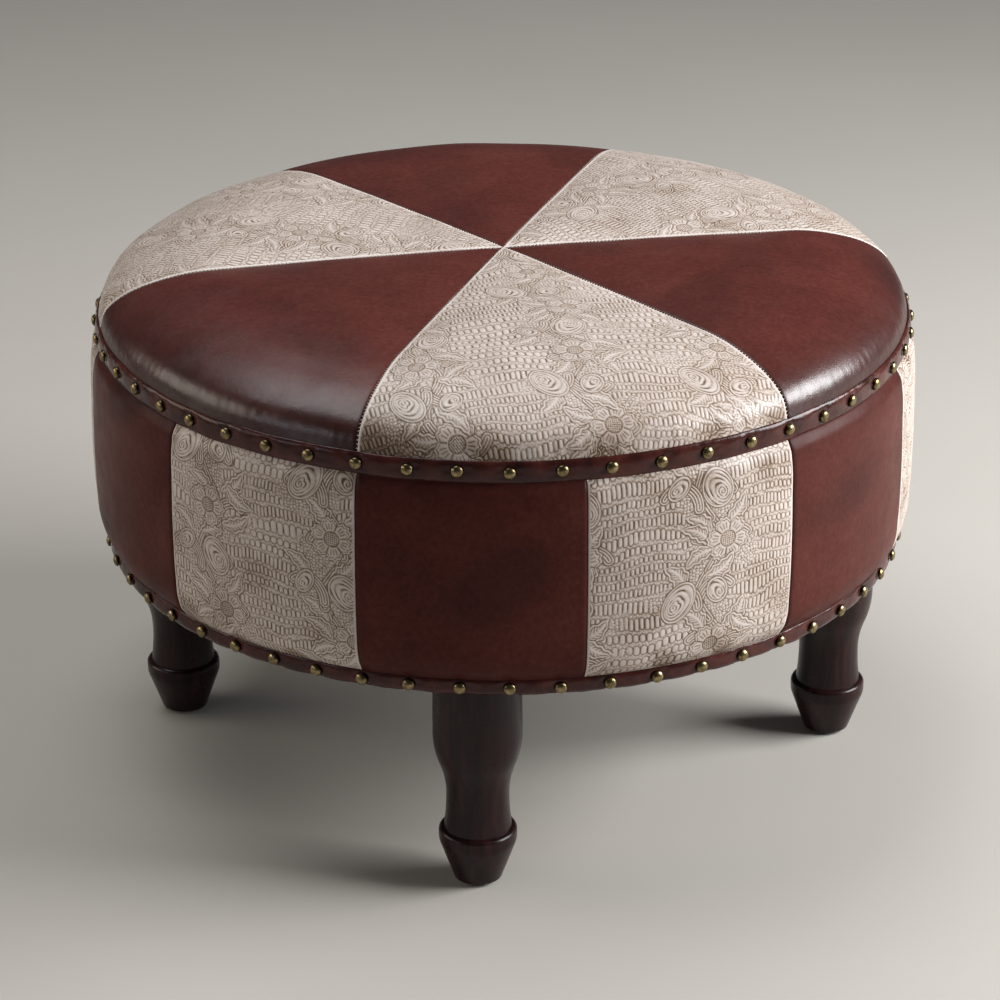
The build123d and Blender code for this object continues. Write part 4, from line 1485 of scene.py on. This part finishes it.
def hang(name, data, right, up, back, place):
    """A lamp or camera at a place, with its axes."""
    holder = bpy.data.objects.new(name, data)
    bpy.context.scene.collection.objects.link(holder)
    holder.matrix_world = Matrix([*np.stack([right, up, back, place], 1).tolist(), [0, 0, 0, 1]])
    return holder


LIGHT_TARGET = np.array([0.0, 0.0, 0.36])


def area_light(name, bearing, elevation, distance, size, power, colour):
    lamp = bpy.data.lights.new(name, "AREA")
    lamp.shape = "RECTANGLE"
    lamp.size, lamp.size_y = size
    lamp.energy = power
    lamp.color = colour
    right, up, back = axes_from(bearing, elevation)
    hang(name, lamp, right, up, back, LIGHT_TARGET + back * distance)


area_light("key", 89.0, 23.0, 2.6, (1.6, 1.3), 130.0, (0.99, 0.99, 1.0))
area_light("top", -115.0, 72.0, 2.6, (2.0, 1.8), 46.0, (0.97, 0.99, 1.0))
area_light("fill", -86.0, 14.0, 2.8, (1.8, 1.1), 18.0, (1.0, 0.89, 0.76))
area_light("glint", -50.0, 12.0, 2.8, (1.0, 0.35), 3.6, (0.90, 0.94, 1.0))

world = bpy.data.worlds.new("studio")
world.use_nodes = True
background = world.node_tree.nodes["Background"]
background.inputs["Color"].default_value = (0.90, 0.93, 1.0, 1.0)
background.inputs["Strength"].default_value = 0.04
bpy.context.scene.world = world
bpy.context.scene.view_settings.view_transform = "Standard"

PICTURE_SIZE = 1000.0
FOCAL = 3707.6
CAMERA_BEARING, CAMERA_ELEVATION, CAMERA_ROLL = 4.2, 24.30, -0.09
CAMERA_DISTANCE = 3.2944
CAMERA_TARGET = np.array([0.0, 0.0, 0.2126])
TARGET_PIXEL = (503.15, 502.83)


def camera():
    lens = bpy.data.cameras.new("camera")
    lens.sensor_width = 36.0
    lens.lens = FOCAL / PICTURE_SIZE * lens.sensor_width
    lens.clip_start, lens.clip_end = 0.05, 50.0
    right, up, back = axes_from(CAMERA_BEARING, CAMERA_ELEVATION)
    right, up = turned(right, up, math.radians(CAMERA_ROLL))
    side, drop = (math.atan2(pixel - PICTURE_SIZE / 2, FOCAL) for pixel in TARGET_PIXEL)
    right, ahead = turned(right, -back, side)
    ahead, up = turned(ahead, up, drop)
    place = CAMERA_TARGET + back * CAMERA_DISTANCE
    bpy.context.scene.camera = hang("camera", lens, right, up, -ahead, place)


camera()
